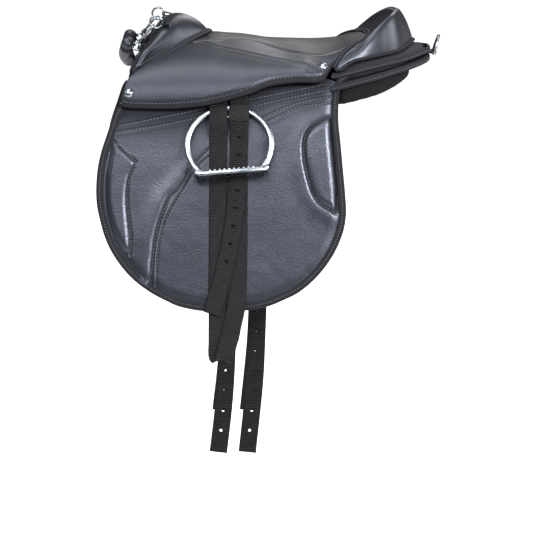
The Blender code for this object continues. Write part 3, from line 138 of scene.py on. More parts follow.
REAR_GIRTH = ((-30, 0), (-240, -4), (-372, -8), (-428, -11), (-526, -21))

# Seams on the flap, in its own plane
KNEE_SEAM = ((-207, 79), (-174, 109), (-176, 115), (-183, 133), (-185, 150), (-185, 167),
             (-183, 190), (-180, 218), (-182, 239))
SWEEP_SEAM = ((-74, 91), (-96, 115), (-106, 132), (-117, 148), (-128, 159), (-138, 184),
              (-145, 208), (-149, 232), (-153, 282))
SECOND_SWEEP = ((-75, 102), (-92, 119), (-106, 142), (-125, 174), (-135, 196), (-141, 220),
                (-144, 245), (-145, 288))
TOP_SEAMS = (((-202, 68), (-169, 63), (-123, 55), (-75, 44)), ((-10, 31), (34, 21), (94, 8)),
             ((-1, 48), (34, 33), (60, 25), (94, 18)), ((7, 53), (47, 35), (70, 30), (94, 26)))
HEAD_SEAMS = (((-196, 58.5), (-158, 51), (-96, 38.5), (-75, 34)), ((-15, 22), (40, 10.5), (94, 0)))
SKIRT_SEAM = ((-96, 49), (-82, 52), (-59, 66), (-15, 84), (22, 96), (57, 108), (80, 118))


# Curves and surfaces in millimetres
def along(rows, x):
    """Smooth value of the rows (x, a, b, ...) at x, held beyond both ends."""
    width = len(rows[0]) - 1
    if x <= rows[0][0]:
        values = rows[0][1:]
    elif x >= rows[-1][0]:
        values = rows[-1][1:]
    else:
        i = max(n for n in range(len(rows) - 1) if rows[n][0] <= x)
        span = rows[i + 1][0] - rows[i][0]
        t = (x - rows[i][0]) / span
        before, after = rows[max(i - 1, 0)], rows[min(i + 2, len(rows) - 1)]
        values = []
        for a, b, c, d in zip(before[1:], rows[i][1:], rows[i + 1][1:], after[1:]):
            slope_b = (c - a) / (rows[i + 1][0] - before[0]) * span
            slope_c = (d - b) / (after[0] - rows[i][0]) * span
            values.append((2 * t**3 - 3 * t**2 + 1) * b + (t**3 - 2 * t**2 + t) * slope_b
                          + (3 * t**2 - 2 * t**3) * c + (t**3 - t**2) * slope_c)
    return values[0] if width == 1 else tuple(values)


def through(points, steps, closed=False):
    """Points of a smooth curve through the given points."""
    points = [Vector(p) for p in points]
    count = len(points)
    made = []
    for i in range(count if closed else count - 1):
        if closed:
            a, b, c, d = (points[(i + k) % count] for k in (-1, 0, 1, 2))
        else:
            a, b, c, d = (points[min(max(i + k, 0), count - 1)] for k in (-1, 0, 1, 2))
        for n in range(steps):
            t = n / steps
            made.append(0.5 * (2 * b + (c - a) * t + (2 * a - 5 * b + 4 * c - d) * t**2
                               + (3 * b - a - 3 * c + d) * t**3))
    return made if closed else made + [points[-1]]


def evenly(points, pitch):
    """The open path resampled in equal steps close to the pitch."""
    lengths = [0.0]
    for a, b in zip(points, points[1:]):
        lengths.append(lengths[-1] + (b - a).length)
    count = max(2, round(lengths[-1] / pitch))
    made, i = [], 0
    for n in range(count + 1):
        place = lengths[-1] * n / count
        while i < len(points) - 2 and lengths[i + 1] < place:
            i += 1
        share = (place - lengths[i]) / max(lengths[i + 1] - lengths[i], 1e-9)
        made.append(points[i].lerp(points[i + 1], min(max(share, 0.0), 1.0)))
    return made


def spaced(low, high, count):
    """Values in equal steps, with both ends."""
    return [low + (high - low) * n / (count - 1) for n in range(count)]


def angles(count):
    """Angles in equal steps round a circle."""
    return [2 * math.pi * n / count for n in range(count)]


def blunt(angle, power):
    """Cosine and sine of the angle, squared off by a power below 1."""
    return [math.copysign(abs(f) ** power, f) for f in (math.cos(angle), math.sin(angle))]


def clamped(value):
    return min(max(value, 0.0), 1.0)


def bell(value, width):
    """1 where the value is 0, falling smoothly to nothing over about twice the width."""
    return math.exp(-(value / width) ** 2)


def slope_at(path, i):
    """Direction of the path at its point i."""
    return (path[min(i + 1, len(path) - 1)] - path[max(i - 1, 0)]).normalized()


def on_flap(u, v, w=0.0):
    """A place on the near flap: u along X, v down its slope, w out of its face."""
    reach = FLAP_TOP_Y + v * math.sin(LEAN) + w * math.cos(LEAN)
    return Vector((u, -reach, -v * math.cos(LEAN) + w * math.sin(LEAN)))


FLAP_OUT = Vector((0, -math.cos(LEAN), math.sin(LEAN)))
FLAP_DOWN = Vector((0, -math.sin(LEAN), -math.cos(LEAN)))


def hinge_v(u):
    """Depth of the fold line at u."""
    return HINGE_V0 - HINGE_SLOPE * u


def frame_at(origin, x_axis, y_axis, z_axis):
    """Matrix with the given axes and origin, in millimetres."""
    turned = Matrix((x_axis, y_axis, z_axis)).transposed().to_4x4()
    turned.translation = origin
    return turned


# Finishes
def shade(hex_code):
    """Linear colour of an sRGB hex value."""
    parts = [int(hex_code[i:i + 2], 16) / 255 for i in (1, 3, 5)]
    return tuple(c / 12.92 if c <= 0.04045 else ((c + 0.055) / 1.055) ** 2.4 for c in parts) + (1,)


def add(tree, kind, sockets, **settings):
    """Add a node: settings are its own choices, sockets are values or other nodes' outputs."""
    made = tree.nodes.new(kind)
    for name, value in settings.items():
        setattr(made, name, value)
    for name, value in sockets.items():
        if isinstance(value, bpy.types.NodeSocket):
            tree.links.new(value, made.inputs[name])
        else:
            made.inputs[name].default_value = value
    return made


def blank_finish(name, roughness, metallic=0.0, film=None):
    """New material with its node tree and shader; film is the strength of its reflections."""
    made = bpy.data.materials.new(name)
    made.use_nodes = True
    shader = made.node_tree.nodes["Principled BSDF"]
    shader.inputs["Roughness"].default_value = roughness
    shader.inputs["Metallic"].default_value = metallic
    if film is not None:
        shader.inputs["Specular IOR Level"].default_value = film
    return made, made.node_tree, shader


def two_tone(tree, fac, dark, light, low=0.3, high=0.7):
    """Colour ramp between two hex shades."""
    ramp = add(tree, "ShaderNodeValToRGB", {"Fac": fac})
    ramp.color_ramp.elements[0].position = low
    ramp.color_ramp.elements[1].position = high
    ramp.color_ramp.elements[0].color = shade(dark)
    ramp.color_ramp.elements[1].color = shade(light)
    return ramp.outputs["Color"]


def scaled(tree, value, factor, plus=0.0, **settings):
    """Value times the factor, plus something."""
    return add(tree, "ShaderNodeMath", {0: value, 1: factor, 2: plus},
               operation="MULTIPLY_ADD", **settings).outputs["Value"]


def ranged(tree, value, low, high):
    return add(tree, "ShaderNodeMapRange",
               {"Value": value, "To Min": low, "To Max": high}).outputs["Result"]


def speckle(tree, place, scale, detail, **sockets):
    """Noise with the given number of lumps to the metre."""
    return add(tree, "ShaderNodeTexNoise", {"Vector": place, "Scale": scale, "Detail": detail,
                                            **sockets}).outputs["Fac"]


def cells(tree, place, pitch, **sockets):
    """Distance from the middle of cells whose pitch is in mm."""
    return add(tree, "ShaderNodeTexVoronoi", {"Vector": place, "Scale": 1 / (pitch * MM),
                                              **sockets}, feature="F1").outputs["Distance"]


def object_place(tree):
    return add(tree, "ShaderNodeTexCoord", {}).outputs["Object"]


def dress(tree, shader, colour, height, strength, depth, rough=None):
    """Give the shader its colour, its relief with a depth in mm, and a roughness that varies."""
    bump = add(tree, "ShaderNodeBump", {"Height": height, "Strength": strength,
                                        "Distance": depth * MM})
    for output, socket in ((colour, "Base Color"), (bump.outputs["Normal"], "Normal"),
                           (rough, "Roughness")):
        if output is not None:
            tree.links.new(output, shader.inputs[socket])


def leather(name, dark, light, roughness, grain, depth, film="#e4ebff", gloss=0.6):
    """Embossed synthetic leather: pebbles of the given size in mm under a satin film.

    The pebbles break the highlight into a soft sheen of the film's tint, and slow cloudiness
    shows handling. The grain is drawn about twice as coarse as real, so that it shows. The
    mesh's seam attribute paints shade: the colour goes to near black and the film dull as painted
    shade along the sewn lines and grooves, and as a painted shadow under the skirt's edge.
    """
    made, tree, shader = blank_finish(name, roughness)
    place = object_place(tree)
    bent = add(tree, "ShaderNodeTexNoise", {"Vector": place, "Scale": 260.0, "Detail": 2.0})
    warped = add(tree, "ShaderNodeVectorMath", {0: bent.outputs["Color"], 1: (0.9 * MM,) * 3},
                 operation="MULTIPLY")
    moved = add(tree, "ShaderNodeVectorMath", {0: place, 1: warped.outputs["Vector"]})
    creases = speckle(tree, place, 95.0, 5.0, Roughness=0.62)
    height = scaled(tree, cells(tree, moved.outputs["Vector"], grain), -0.9,
                    scaled(tree, creases, 0.3))
    # painted shade: the seam attribute mixes the colour to near black #050506 along seams and
    # grooves and under the skirt's edge, and dulls the film there
    seams = add(tree, "ShaderNodeAttribute", {}, attribute_name="seam").outputs["Fac"]
    clouds = two_tone(tree, speckle(tree, place, 14.0, 4.0), dark, light)
    tone_and_painted_shade = add(tree, "ShaderNodeMix", {"Factor": seams, 6: clouds, 7: shade("#050506")},
               data_type="RGBA")
    rough = ranged(tree, creases, roughness - 0.06, roughness + 0.08)
    dress(tree, shader, tone_and_painted_shade.outputs[2], height, 0.85, depth,
          scaled(tree, seams, 0.4, rough, use_clamp=True))
    tree.links.new(scaled(tree, seams, -0.85 * gloss, gloss),
                   shader.inputs["Specular IOR Level"])
    shader.inputs["Specular Tint"].default_value = shade(film)
    return made


def woven(name, dark, light, rib, slant, roughness):
    """Polyester weave on the piece's own UV map: rows of yarn at the rib pitch in mm.

    Slant 0 gives webbing with straight ribs, and 1 a tape with crossing diagonal yarns. The colour
    follows the relief and is darker in its hollows between the ribs and yarns: partly the weave's
    rows, partly painted shade.
    """
    made, tree, shader = blank_finish(name, roughness, film=0.12)
    place = add(tree, "ShaderNodeUVMap", {}, uv_map="weave").outputs["UV"]
    scale = math.pi / 10 / (rib * MM)
    waves = []
    for angle, size, phase in ((0.7 * slant, scale, math.pi),
                               (-0.7 * slant + math.pi / 2 * (1 - slant), scale * 0.8, 0.0)):
        turned = add(tree, "ShaderNodeMapping", {"Vector": place, "Rotation": (0, 0, angle)})
        waves.append(add(tree, "ShaderNodeTexWave", {
            "Vector": turned.outputs["Vector"], "Scale": size, "Phase Offset": phase},
            bands_direction="Y").outputs["Fac"])
    rows, yarns = waves
    weave = scaled(tree, yarns, 0.2 + 0.55 * slant, rows)
    height = scaled(tree, speckle(tree, place, 900.0, 3.0), 0.4, weave)
    # colour from the relief: the rows of yarn, with painted shade in the hollows between them
    dress(tree, shader, two_tone(tree, height, dark, light, 0.7, 1.25 + 0.2 * slant), height,
          0.7, 0.3)
    return made


def spacer_mesh(name, dark, light, hole):
    """Knitted spacer mesh: rows of open holes at the given pitch in mm, matt and black."""
    made, tree, shader = blank_finish(name, 0.85, film=0.1)
    place = object_place(tree)
    height = scaled(tree, speckle(tree, place, 1300.0, 2.0), 0.25,
                    cells(tree, place, hole, Randomness=0.25))
    dress(tree, shader, two_tone(tree, height, dark, light, 0.2, 0.8), height, 0.8, 0.8)
    return made


def polished(name, light, dark, roughness):
    """Bright nickel plate: mirror-like with faint polishing marks that soften the reflections."""
    made, tree, shader = blank_finish(name, roughness, 1.0)
    place = object_place(tree)
    marks = speckle(tree, place, 420.0, 4.0)
    tone = two_tone(tree, speckle(tree, place, 60.0, 3.0), dark, light)
    dress(tree, shader, tone, marks, 0.12, 0.1,
          ranged(tree, marks, roughness - 0.05, roughness + 0.1))
    return made


# Embossed polyurethane leather of the flaps, with a satin finish
LEATHER = leather("embossed_synthetic_leather", "#0f1015", "#17181e", 0.34, 2.2, 0.2, gloss=0.5)
# The same leather on the skirts, finer and more matt
SKIRT_LEATHER = leather("draped_synthetic_leather", "#0d0e12", "#15161b", 0.4, 1.9, 0.24,
                        gloss=0.36)
# The same leather stretched smooth over the rolls
ROLL_LEATHER = leather("stretched_synthetic_leather", "#0f1013", "#15161b", 0.36, 1.5, 0.1,
                       gloss=0.38)
# Smooth seat leather, a warmer black
SEAT = leather("smooth_seat_leather", "#131314", "#1a1a1b", 0.38, 1.7, 0.14, "#f6f8ff", 0.42)
# Polyester webbing of 25 mm with cross ribs
WEBBING = woven("ribbed_polyester_webbing", "#010101", "#17171a", RIB, 0.0, 0.7)
# Woven polyester tape, folded over the cut edges
TAPE = woven("woven_binding_tape", "#010102", "#17181c", 2.4, 1.0, 0.75)
# Knitted polyester spacer mesh against the horse
MESH = spacer_mesh("black_spacer_mesh", "#020203", "#0c0c0e", 2.4)
# Open-cell polyurethane foam, where its sides show
FOAM = spacer_mesh("charcoal_foam", "#141417", "#232328", 1.2)
# Bonded polyester sewing thread, a grey one for the rows that show and a black one
THREAD = woven("polyester_sewing_thread", "#34363d", "#5c5f67", 0.8, 1.0, 0.6)
DARK_THREAD = woven("black_sewing_thread", "#26272c", "#4a4b52", 0.8, 1.0, 0.6)
# Nickel-plated steel, polished
METAL = polished("polished_nickel_plate", "#868c92", "#5c6268", 0.24)


# Making meshes
def mark_painted_shade(piece, shade_at):
    """Write the seam attribute, the strength of the painted shade: the function given gives 0 to 1
    at a place in millimetres.
    """
    values = [shade_at(vert.co / MM) for vert in piece.data.vertices]
    piece.data.attributes.new("seam", "FLOAT", "POINT").data.foreach_set("value", values)
    return piece


def from_bmesh(name, bm, finish, crease=50):
    """Linked object from a bmesh, smooth where its faces meet below the crease angle."""
    mesh = bpy.data.meshes.new(name)
    bm.to_mesh(mesh)
    bm.free()
    mesh.materials.append(finish)
    mesh.shade_smooth()
    mesh.set_sharp_from_angle(angle=math.radians(crease))
    made = bpy.data.objects.new(name, mesh)
    bpy.context.scene.collection.objects.link(made)
    return made


def skin(name, rings, finish, crease=50, joined=False):
    """Skin over rings of equal point counts, with a UV map in metres along and across it.

    A joined skin closes its last ring to its first, and any other is capped at both ends.
    """
    rings = rings + rings[:1] if joined else rings
    wide, high = len(rings[0]) + 1, len(rings)
    rows = [[Vector(p) * MM for p in ring] + [Vector(ring[0]) * MM] for ring in rings]
    bm = bmesh.new()
    layer = bm.loops.layers.uv.new("weave")
    bmesh.ops.create_grid(bm, x_segments=wide - 1, y_segments=high - 1, size=1)
    bm.verts.ensure_lookup_table()
    bm.verts.index_update()
    places = []
    travelled = [0.0] * wide
    for i, row in enumerate(rows):
        around = 0.0
        for j, place in enumerate(row):
            bm.verts[i * wide + j].co = place
            around += (place - row[j - 1]).length if j else 0.0
            travelled[j] += (place - rows[i - 1][j]).length if i else 0.0
            places.append((around, travelled[j]))
    for face in bm.faces:
        for loop in face.loops:
            loop[layer].uv = places[loop.vert.index]
    bmesh.ops.remove_doubles(bm, verts=bm.verts, dist=0.000002)
    rims = [edge for edge in bm.edges if edge.is_boundary]
    if rims:
        bmesh.ops.holes_fill(bm, edges=rims, sides=0)
    bmesh.ops.recalc_face_normals(bm, faces=bm.faces)
    return from_bmesh(name, bm, finish, crease)


def round_section(place, run, out, radius, sides, flat=1.0):
    """Ring of points round a path: out is the direction that flat narrows."""
    side = out.cross(run).normalized()
    up = run.cross(side)
    return [place + side * math.cos(a) * radius + up * math.sin(a) * radius * flat
            for a in angles(sides)]


def cord(name, path, radius, finish, outs=None, sides=12, flat=1.0, joined=False, taper=0.0):
    """Round or flattened bar along a dense path; taper rounds its two ends over that length."""
    rings = []
    walked = [0.0]
    for a, b in zip(path, path[1:]):
        walked.append(walked[-1] + (b - a).length)
    for i, place in enumerate(path):
        if joined:
            run = (path[(i + 1) % len(path)] - path[i - 1]).normalized()
        else:
            run = slope_at(path, i)
        out = outs[i] if outs else Vector((0, 0, 1)) if abs(run.z) < 0.9 else Vector((1, 0, 0))
        left = min(walked[i], walked[-1] - walked[i])
        size = radius
        if taper and left < taper:
            size *= max(0.12, math.sqrt(1 - (1 - left / taper) ** 2))
        rings.append(round_section(place, run, out, size, sides, flat))
    return skin(name, rings, finish, 60, joined)


def stitches(name, rows, pitch=4.8, length=3.5, radius=0.56, finish=THREAD):
    """Sewing thread, one bead a stitch, along rows that are lists of (place, outward normal)."""
    raised = 0.12
    bm = bmesh.new()
    for row in rows:
        walked = 0.0
        for (a, out_a), (b, _) in zip(row, row[1:]):
            step = (b - a).length
            while walked < step:
                place = a.lerp(b, walked / step)
                run = (b - a).normalized()
                side = out_a.cross(run).normalized()
                up = run.cross(side)
                turn = frame_at(place + up * raised, run, side, up)
                size = Matrix.Diagonal((length / 2, radius, radius * 0.75, 1))
                bmesh.ops.create_uvsphere(bm, u_segments=6, v_segments=4, radius=1,
                                          matrix=Matrix.Scale(MM, 4) @ turn @ size)
                walked += pitch
            walked -= step
    bm.loops.layers.uv.new("weave")
    return from_bmesh(name, bm, finish, 80)


def tape_stitches(name, rows):
    """Short black stitches, as on the binding tapes."""
    return stitches(name, rows, 4.0, 2.8, 0.42, DARK_THREAD)


def joined(name, pieces):
    """Several objects of one finish as one piece."""
    bm = bmesh.new()
    for piece in pieces:
        bm.from_mesh(piece.data)
    finish = pieces[0].data.materials[0]
    for piece in pieces:
        bpy.data.objects.remove(piece, do_unlink=True)
    return from_bmesh(name, bm, finish)


def mirrored(piece, name):
    """The piece's twin on the saddle's other side."""
    mesh = piece.data.copy()
    mesh.name = name
    mesh.transform(Matrix.Diagonal((1, -1, 1, 1)))
    mesh.flip_normals()
    made = bpy.data.objects.new(name, mesh)
    bpy.context.scene.collection.objects.link(made)
    return made


def label(nodes):
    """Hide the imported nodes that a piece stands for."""
    if nodes:
        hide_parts(*nodes)


def use(piece, body, nodes=()):
    """Put a finished piece on its body."""
    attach(piece, body)
    label(nodes)


def off(name):
    """Name of the off-side twin."""
    return name.replace("near_", "off_", 1)


def use_pair(piece, body, nodes=()):
    """Put a near piece and its twin on their bodies."""
    twin = mirrored(piece, off(piece.name))
    use(piece, body, nodes)
    use(twin, off(body), [off(n) for n in nodes])


def use_fold(piece, nodes=()):
    """A near piece and its twin, with their transforms baked and the imported nodes they stand for
    hidden.
    """
    twin = mirrored(piece, off(piece.name))
    flip = Matrix.Diagonal((1, -1, 1))
    for made, change, side in ((piece, Matrix.Identity(3), "near"), (twin, flip, "off")):
        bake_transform(made)
        label(nodes if side == "near" else [off(n) for n in nodes])


def soft_copy(name, nodes, voxel, rounds, swell, finish):
    """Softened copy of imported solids: merged, remeshed, smoothed and puffed out again."""
    bm = bmesh.new()
    for node in nodes:
        bm.from_mesh(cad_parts[node].data)
    bmesh.ops.remove_doubles(bm, verts=bm.verts, dist=0.00002)
    rough = from_bmesh(name + "_rough", bm, finish)
    step = rough.modifiers.new("voxels", "REMESH")
    step.mode = "VOXEL"
    step.voxel_size = voxel * MM
    ready = rough.evaluated_get(bpy.context.evaluated_depsgraph_get())
    bm = bmesh.new()
    bm.from_mesh(ready.to_mesh())
    ready.to_mesh_clear()
    bpy.data.objects.remove(rough, do_unlink=True)
    for _ in range(rounds):
        bmesh.ops.smooth_vert(bm, verts=bm.verts, factor=0.5, use_axis_x=True, use_axis_y=True,
                              use_axis_z=True)
    bm.normal_update()
    for vert in bm.verts:
        vert.co += vert.normal * swell * MM
    return from_bmesh(name, bm, finish, 80)


def search_tree(spots):
    """Tree that finds the nearest of the spots."""
    tree = kdtree.KDTree(len(spots))
    for i, spot in enumerate(spots):
        tree.insert(spot, i)
    tree.balance()
    return tree


# Flaps: one leather panel from under the skirt to the bottom, with its blocks and seams
class Seam:
    """Sewn lines on the flap plane, with the distance and side of any place beside them."""

    def __init__(self, lines):
        self.spots, self.runs = [], []
        for line in lines:
            path = evenly([Vector((*q, 0)) for q in line], 1.5)
            self.spots += path
            self.runs += [slope_at(path, i) for i in range(len(path))]
        self.tree = search_tree(self.spots)

    def away(self, spot):
        return self.tree.find(spot)[2]

    def beside(self, spot):
        """Distance, how far the line's end fades it, and whether the place lies in front.

        Front is the horse's front where the line is sewn downward.
        """
        near, i, away = self.tree.find(spot)
        step = spot - near
        run = self.runs[i]
        return away, bell(step.dot(run), 4), run.x * step.y - run.y * step.x > 0


def dome(share):
    """Rounded rise from 0 to 1."""
    return 1 - (1 - min(share, 1.0)) ** 2


def shoulder(away, height, width, fade):
    """Padding that swells beside a seam: up over the width, then level again over the fade."""
    return height * dome(away / width) * bell(max(away - width, 0.0), fade)


def smooth_line(points, steps=5):
    """Open curve through the points, as tuples."""
    return [tuple(p) for p in through(points, steps)]


def closed_line(points, steps=4):
    """Closed curve through the points, with its first place again at the end."""
    ring = [tuple(p) for p in through(points, steps, closed=True)]
    return ring + ring[:1]


KNEE_LINE, THIGH_LINE = closed_line(KNEE_OUTLINE, 3), closed_line(THIGH_OUTLINE)
THIGH_SEWN = 44       # places of its outline, up to the flap's edge, where it is sewn down
# Each seam: its lines, groove depth and width, then the padding on its front and rear sides
# as height, width, fade and the depth on the flap where it is full
SEAMS = ((Seam([smooth_line(KNEE_SEAM[:2], 2) + smooth_line(KNEE_SEAM[1:])]), 1.2, 1.6,
          None, None),
         (Seam([smooth_line(SWEEP_SEAM)]), 1.2, 1.5, (3.0, 9.0, 14.0, 165), None),
         (Seam([smooth_line(SECOND_SWEEP)]), 1.2, 1.3, (1.1, 3.0, 2.5, 150), None),
         (Seam([smooth_line(line) for line in TOP_SEAMS + HEAD_SEAMS]), 0.9, 1.4,
          (0.4, 3.0, 3.0, 0), (0.4, 3.0, 3.0, 0)))
# Each block: its outline, height, width of its rounded edge, groove depth and width, and the
# padding outside it
BLOCKS = ((KNEE_LINE, Seam([KNEE_LINE]), 3.8, 9.0, 0.0, 1.0, None),
          (THIGH_LINE, Seam([THIGH_LINE]), 2.6, 11.0, 2.2, 2.2, (1.5, 7.0, 12.0)))
PANEL_LINE = evenly(through(HEAD_OUTLINE[1:] + FLAP_OUTLINE[::-1], 8, closed=True),
                    PANEL_PITCH)
EDGE = Seam([[tuple(p) for p in PANEL_LINE + PANEL_LINE[:1]]])


def inside(ring, u, v):
    """Whether a place lies inside a closed outline."""
    odd = False
    for (a, b), (c, d) in zip(ring, ring[1:]):
        if (b > v) != (d > v) and u < (c - a) * (v - b) / (d - b) + a:
            odd = not odd
    return odd


def flap_height(u, v):
    """Height of the padded leather over the flap plane, level where the straps lie on it."""
    spot = Vector((u, v, 0))
    rise = 0.2 + 0.45 * noise.noise(spot / 48) + 0.12 * noise.noise(spot / 15)
    rise -= 1.7 * bell(max(EDGE.away(spot) - BINDING_WIDTH, 0.0), 6)
    for seam, depth, width, front, rear in SEAMS:
        away, fade, ahead = seam.beside(spot)
        padding = front if ahead else rear
        if padding:
            fade *= min(max(1 - (padding[3] - v) / 65, 0.1), 1.0)
            rise += shoulder(away, *padding[:3]) * fade
        rise -= depth * bell(away, width)
    for ring, seam, lift, edge, depth, width, outside in BLOCKS:
        away = seam.away(spot)
        if inside(ring, u, v):
            rise += lift * dome(away / edge)
        elif outside:
            rise += shoulder(away, *outside)
        rise -= depth * bell(away, width)
    pressed = clamped((v - 45) / 15) * clamped((u + 88) / 12) * clamped((-6 - u) / 12)
    return rise + (min(rise, 0.35) - rise) * pressed


def flap_panel():
    """Flap leather from under the skirt to its bound edge, in rings round its middle."""
    middle, inset = Vector(PANEL_MIDDLE), 3.0
    edge = []
    for i, p in enumerate(PANEL_LINE):
        run = PANEL_LINE[(i + 1) % len(PANEL_LINE)] - PANEL_LINE[i - 1]
        edge.append(p + Vector((-run.y, run.x)).normalized() * inset)
    rings = []
    for share in (0.02, 0.4, 0.8, 0.985):
        rings.append([on_flap(*(middle + (p - middle) * share), -FLAP_THICK) for p in edge])
    rings.append([on_flap(*p, -FLAP_THICK + 0.6) for p in edge])
    for share in spaced(1.0, 0.012, PANEL_RINGS):
        spots = [middle + (p - middle) * share for p in edge]
        rings.append([on_flap(p.x, p.y, flap_height(p.x, p.y)) for p in spots])
    return mark_painted_shade(skin("near_flap_leather", rings, LEATHER, 70), flap_painted_shade)


def flap_painted_shade(place):
    """Seam attribute of the flap: painted shade along its seams and grooves, dark over its back
    face, and a painted shadow fading out over 70 mm below the skirt's edge.
    """
    step = place - on_flap(0, 0)
    if step.dot(FLAP_OUT) < -3:
        return 0.7
    spot = Vector((place.x, step.dot(FLAP_DOWN), 0))
    near = min([seam.away(spot) for seam, *_ in SEAMS[:3]] + [BLOCKS[1][1].away(spot)])
    # painted shadow below the skirt's edge, fading out over 70 mm down the flap
    below_skirt = (spot.y + along(SKIRT_EDGE, place.x)[1]) / 70
    shaded = clamped(1 - below_skirt)
    return max(bell(near, 1.5), 0.8 * bell(SEAMS[3][0].away(spot), 1.3),
               0.8 * shaded**2 * (3 - 2 * shaded))


def flap_row(line):
    """A line's places on the padded leather, with their outward normals."""
    return [(on_flap(u, v, flap_height(u, v)), FLAP_OUT) for u, v in line]


def flap_stitches():
    """Rows along the sweeps and blocks in black thread, and the top seams in grey."""
    rows = [flap_row(smooth_line(KNEE_SEAM[:2], 4) + smooth_line(KNEE_SEAM[1:])),
            flap_row(smooth_line(SWEEP_SEAM)), flap_row(smooth_line(SECOND_SWEEP)),
            flap_row(THIGH_LINE[:THIGH_SEWN])]
    return (stitches("near_block_stitching", rows, finish=DARK_THREAD),
            stitches("near_flap_stitching", [flap_row(smooth_line(line)) for line in TOP_SEAMS]))


def edge_path():
    """The flap's bound edge, from under the skirt's front corner round to the rear tape."""
    points = (((-199.8, 31.5),) + HEAD_OUTLINE[1:2] + FLAP_OUTLINE[:-1]
              + ((108.0, 10.0), (113.0, -1.0), (123.0, -8.0)))
    return evenly(through(points, 8), 2.6)


# Section of the tape: distance inward from the edge, and height over the flap plane
BINDING_SECTION = ((10.0, -0.6), (9.9, 0.5), (9.2, 0.95), (6.0, 1.15), (5.0, 0.7), (4.0, 1.15),
                   (2.0, 0.9), (0.7, 0.0), (0.0, -2.5), (0.7, -4.9), (2.0, -5.8), (6.0, -6.0),
                   (9.4, -5.8), (10.0, -4.4))


def flap_binding():
    """Folded tape round the flap's edge, with a sunk middle, and its row of stitches."""
    path = edge_path()
    rings, thread = [], []
    for i, p in enumerate(path):
        run = slope_at(path, i)
        inward = Vector((run.y, -run.x))
        rings.append([on_flap(*(p + inward * d), w) for d, w in BINDING_SECTION])
        thread.append((on_flap(*(p + inward * 5.0), 0.85), FLAP_OUT))
    return (skin("near_flap_edge_tape", rings, TAPE, 75),
            tape_stitches("near_flap_edge_thread", [thread]))


# Seat, skirts, pommel and cantle
def seat_top(x, y):
    """Height of the seat, from its crown down to the side seams."""
    half, edge = along(SEAM, x)
    crown = along(SEAT_CROWN, x)
    return crown + (edge - crown) * min(abs(y) / half, 1.0) ** 2


def seat_cover():
    """Seat panel, drawn down along its two side seams."""
    rings = []
    for x in spaced(*SEAT_X, 150):
        half = along(SEAM, x)[0] - 0.3
        shares = [math.sin(math.pi / 2 * f) for f in spaced(-1, 1, 65)]
        top = []
        for f in shares:
            away = half * (1 - abs(f))
            relief = 0.4 * bell(away - 7, 5) - 0.5 * bell(away, 2.4)
            top.append(Vector((x, half * f, seat_top(x, half * f) + relief)))
        low = [p - Vector((0, 0, COVER_THICK)) for p in top[::-4]]
        rings.append(top + low)
    return skin("seat_panel", rings, SEAT, 70)


def skirt_section(x):
    """Outer line of the skirt at x, from the seat seam to its lower edge, in near y and z."""
    top = Vector((-along(SEAM, x)[0] - GAP, along(SEAM, x)[1]))
    edge_y, edge_z = along(SKIRT_EDGE, x)
    edge = Vector((-edge_y, edge_z))
    full = Vector((-(edge_y - 4), edge_z + 0.74 * (top.y - edge_z)))
    flat = (top + edge) / 2 + Vector((-1.0, 1.5))
    return top, full.lerp(flat, clamped((x - 60) / 48)), edge


def bezier(a, b, c, t):
    """Place at t on the curve from a to c that b bends."""
    return a * (1 - t) ** 2 + b * 2 * t * (1 - t) + c * t**2


def skirt_place(x, t):
    """Place on the skirt, with t from 0 at the seat to 1 at its edge, and its outward normal."""
    curve = skirt_section(x)
    here = bezier(*curve, t)
    run = bezier(*curve, t + 0.01) - bezier(*curve, t - 0.01)
    out = Vector((0, run.y, -run.x)).normalized()
    out = -out if out.y > 0 and out.z < 0 else out
    return Vector((x, here.x, here.y)), out


def share_at_width(x, width):
    """How far down the skirt at x the given distance from the middle lies."""
    return min(spaced(0.02, 0.98, 97), key=lambda t: abs(-skirt_place(x, t)[0].y - width))


def tape_share(x):
    """Where the skirt's edge tape begins."""
    top, bend, edge = skirt_section(x)
    tape = min(SKIRT_TAPE, 0.45 * (edge - top).length)
    last = 1.0
    while (bezier(top, bend, edge, last) - edge).length < tape and last > 0.3:
        last -= 0.01
    return last


SEAM_ROW = [skirt_place(x, share_at_width(x, along(SKIRT_SEAM, x))) for x in spaced(-92, 82, 60)]


def skirt():
    """Skirt leather with its curved seam, thickened inward."""
    tree = search_tree([place for place, _ in SEAM_ROW])
    rings = []
    for x in spaced(*SKIRT_X, 200):
        last = tape_share(x)
        face, back = [], []
        for n in range(81):
            t = (last + 0.02) * n / 80
            place, out = skirt_place(x, t)
            away = tree.find(place)[2]
            edge_away = (place - skirt_place(x, last)[0]).length
            top_away = (place - skirt_place(x, 0)[0]).length
            rise = 0.35 * noise.noise(place / 40)
            rise -= 0.9 * bell(away, 2.0) + 0.4 * bell(top_away, 2.4) + 0.7 * bell(edge_away, 2.0)
            rise += 0.7 * bell(away - 5, 3.5)
            face.append(place + out * rise)
            if n % 5 == 0:
                under = place - out * SKIRT_THICK
                under.y = min(under.y, skirt_place(x, 0)[0].y)
                back.append(under)
        rings.append(face + back[::-1])
    # painted shade along the skirt's curved seam: the seam attribute darkens and dulls the leather
    # there
    return mark_painted_shade(skin("near_skirt_leather", rings, SKIRT_LEATHER, 70),
                      lambda place: 0.8 * bell(tree.find(place)[2], 1.4))


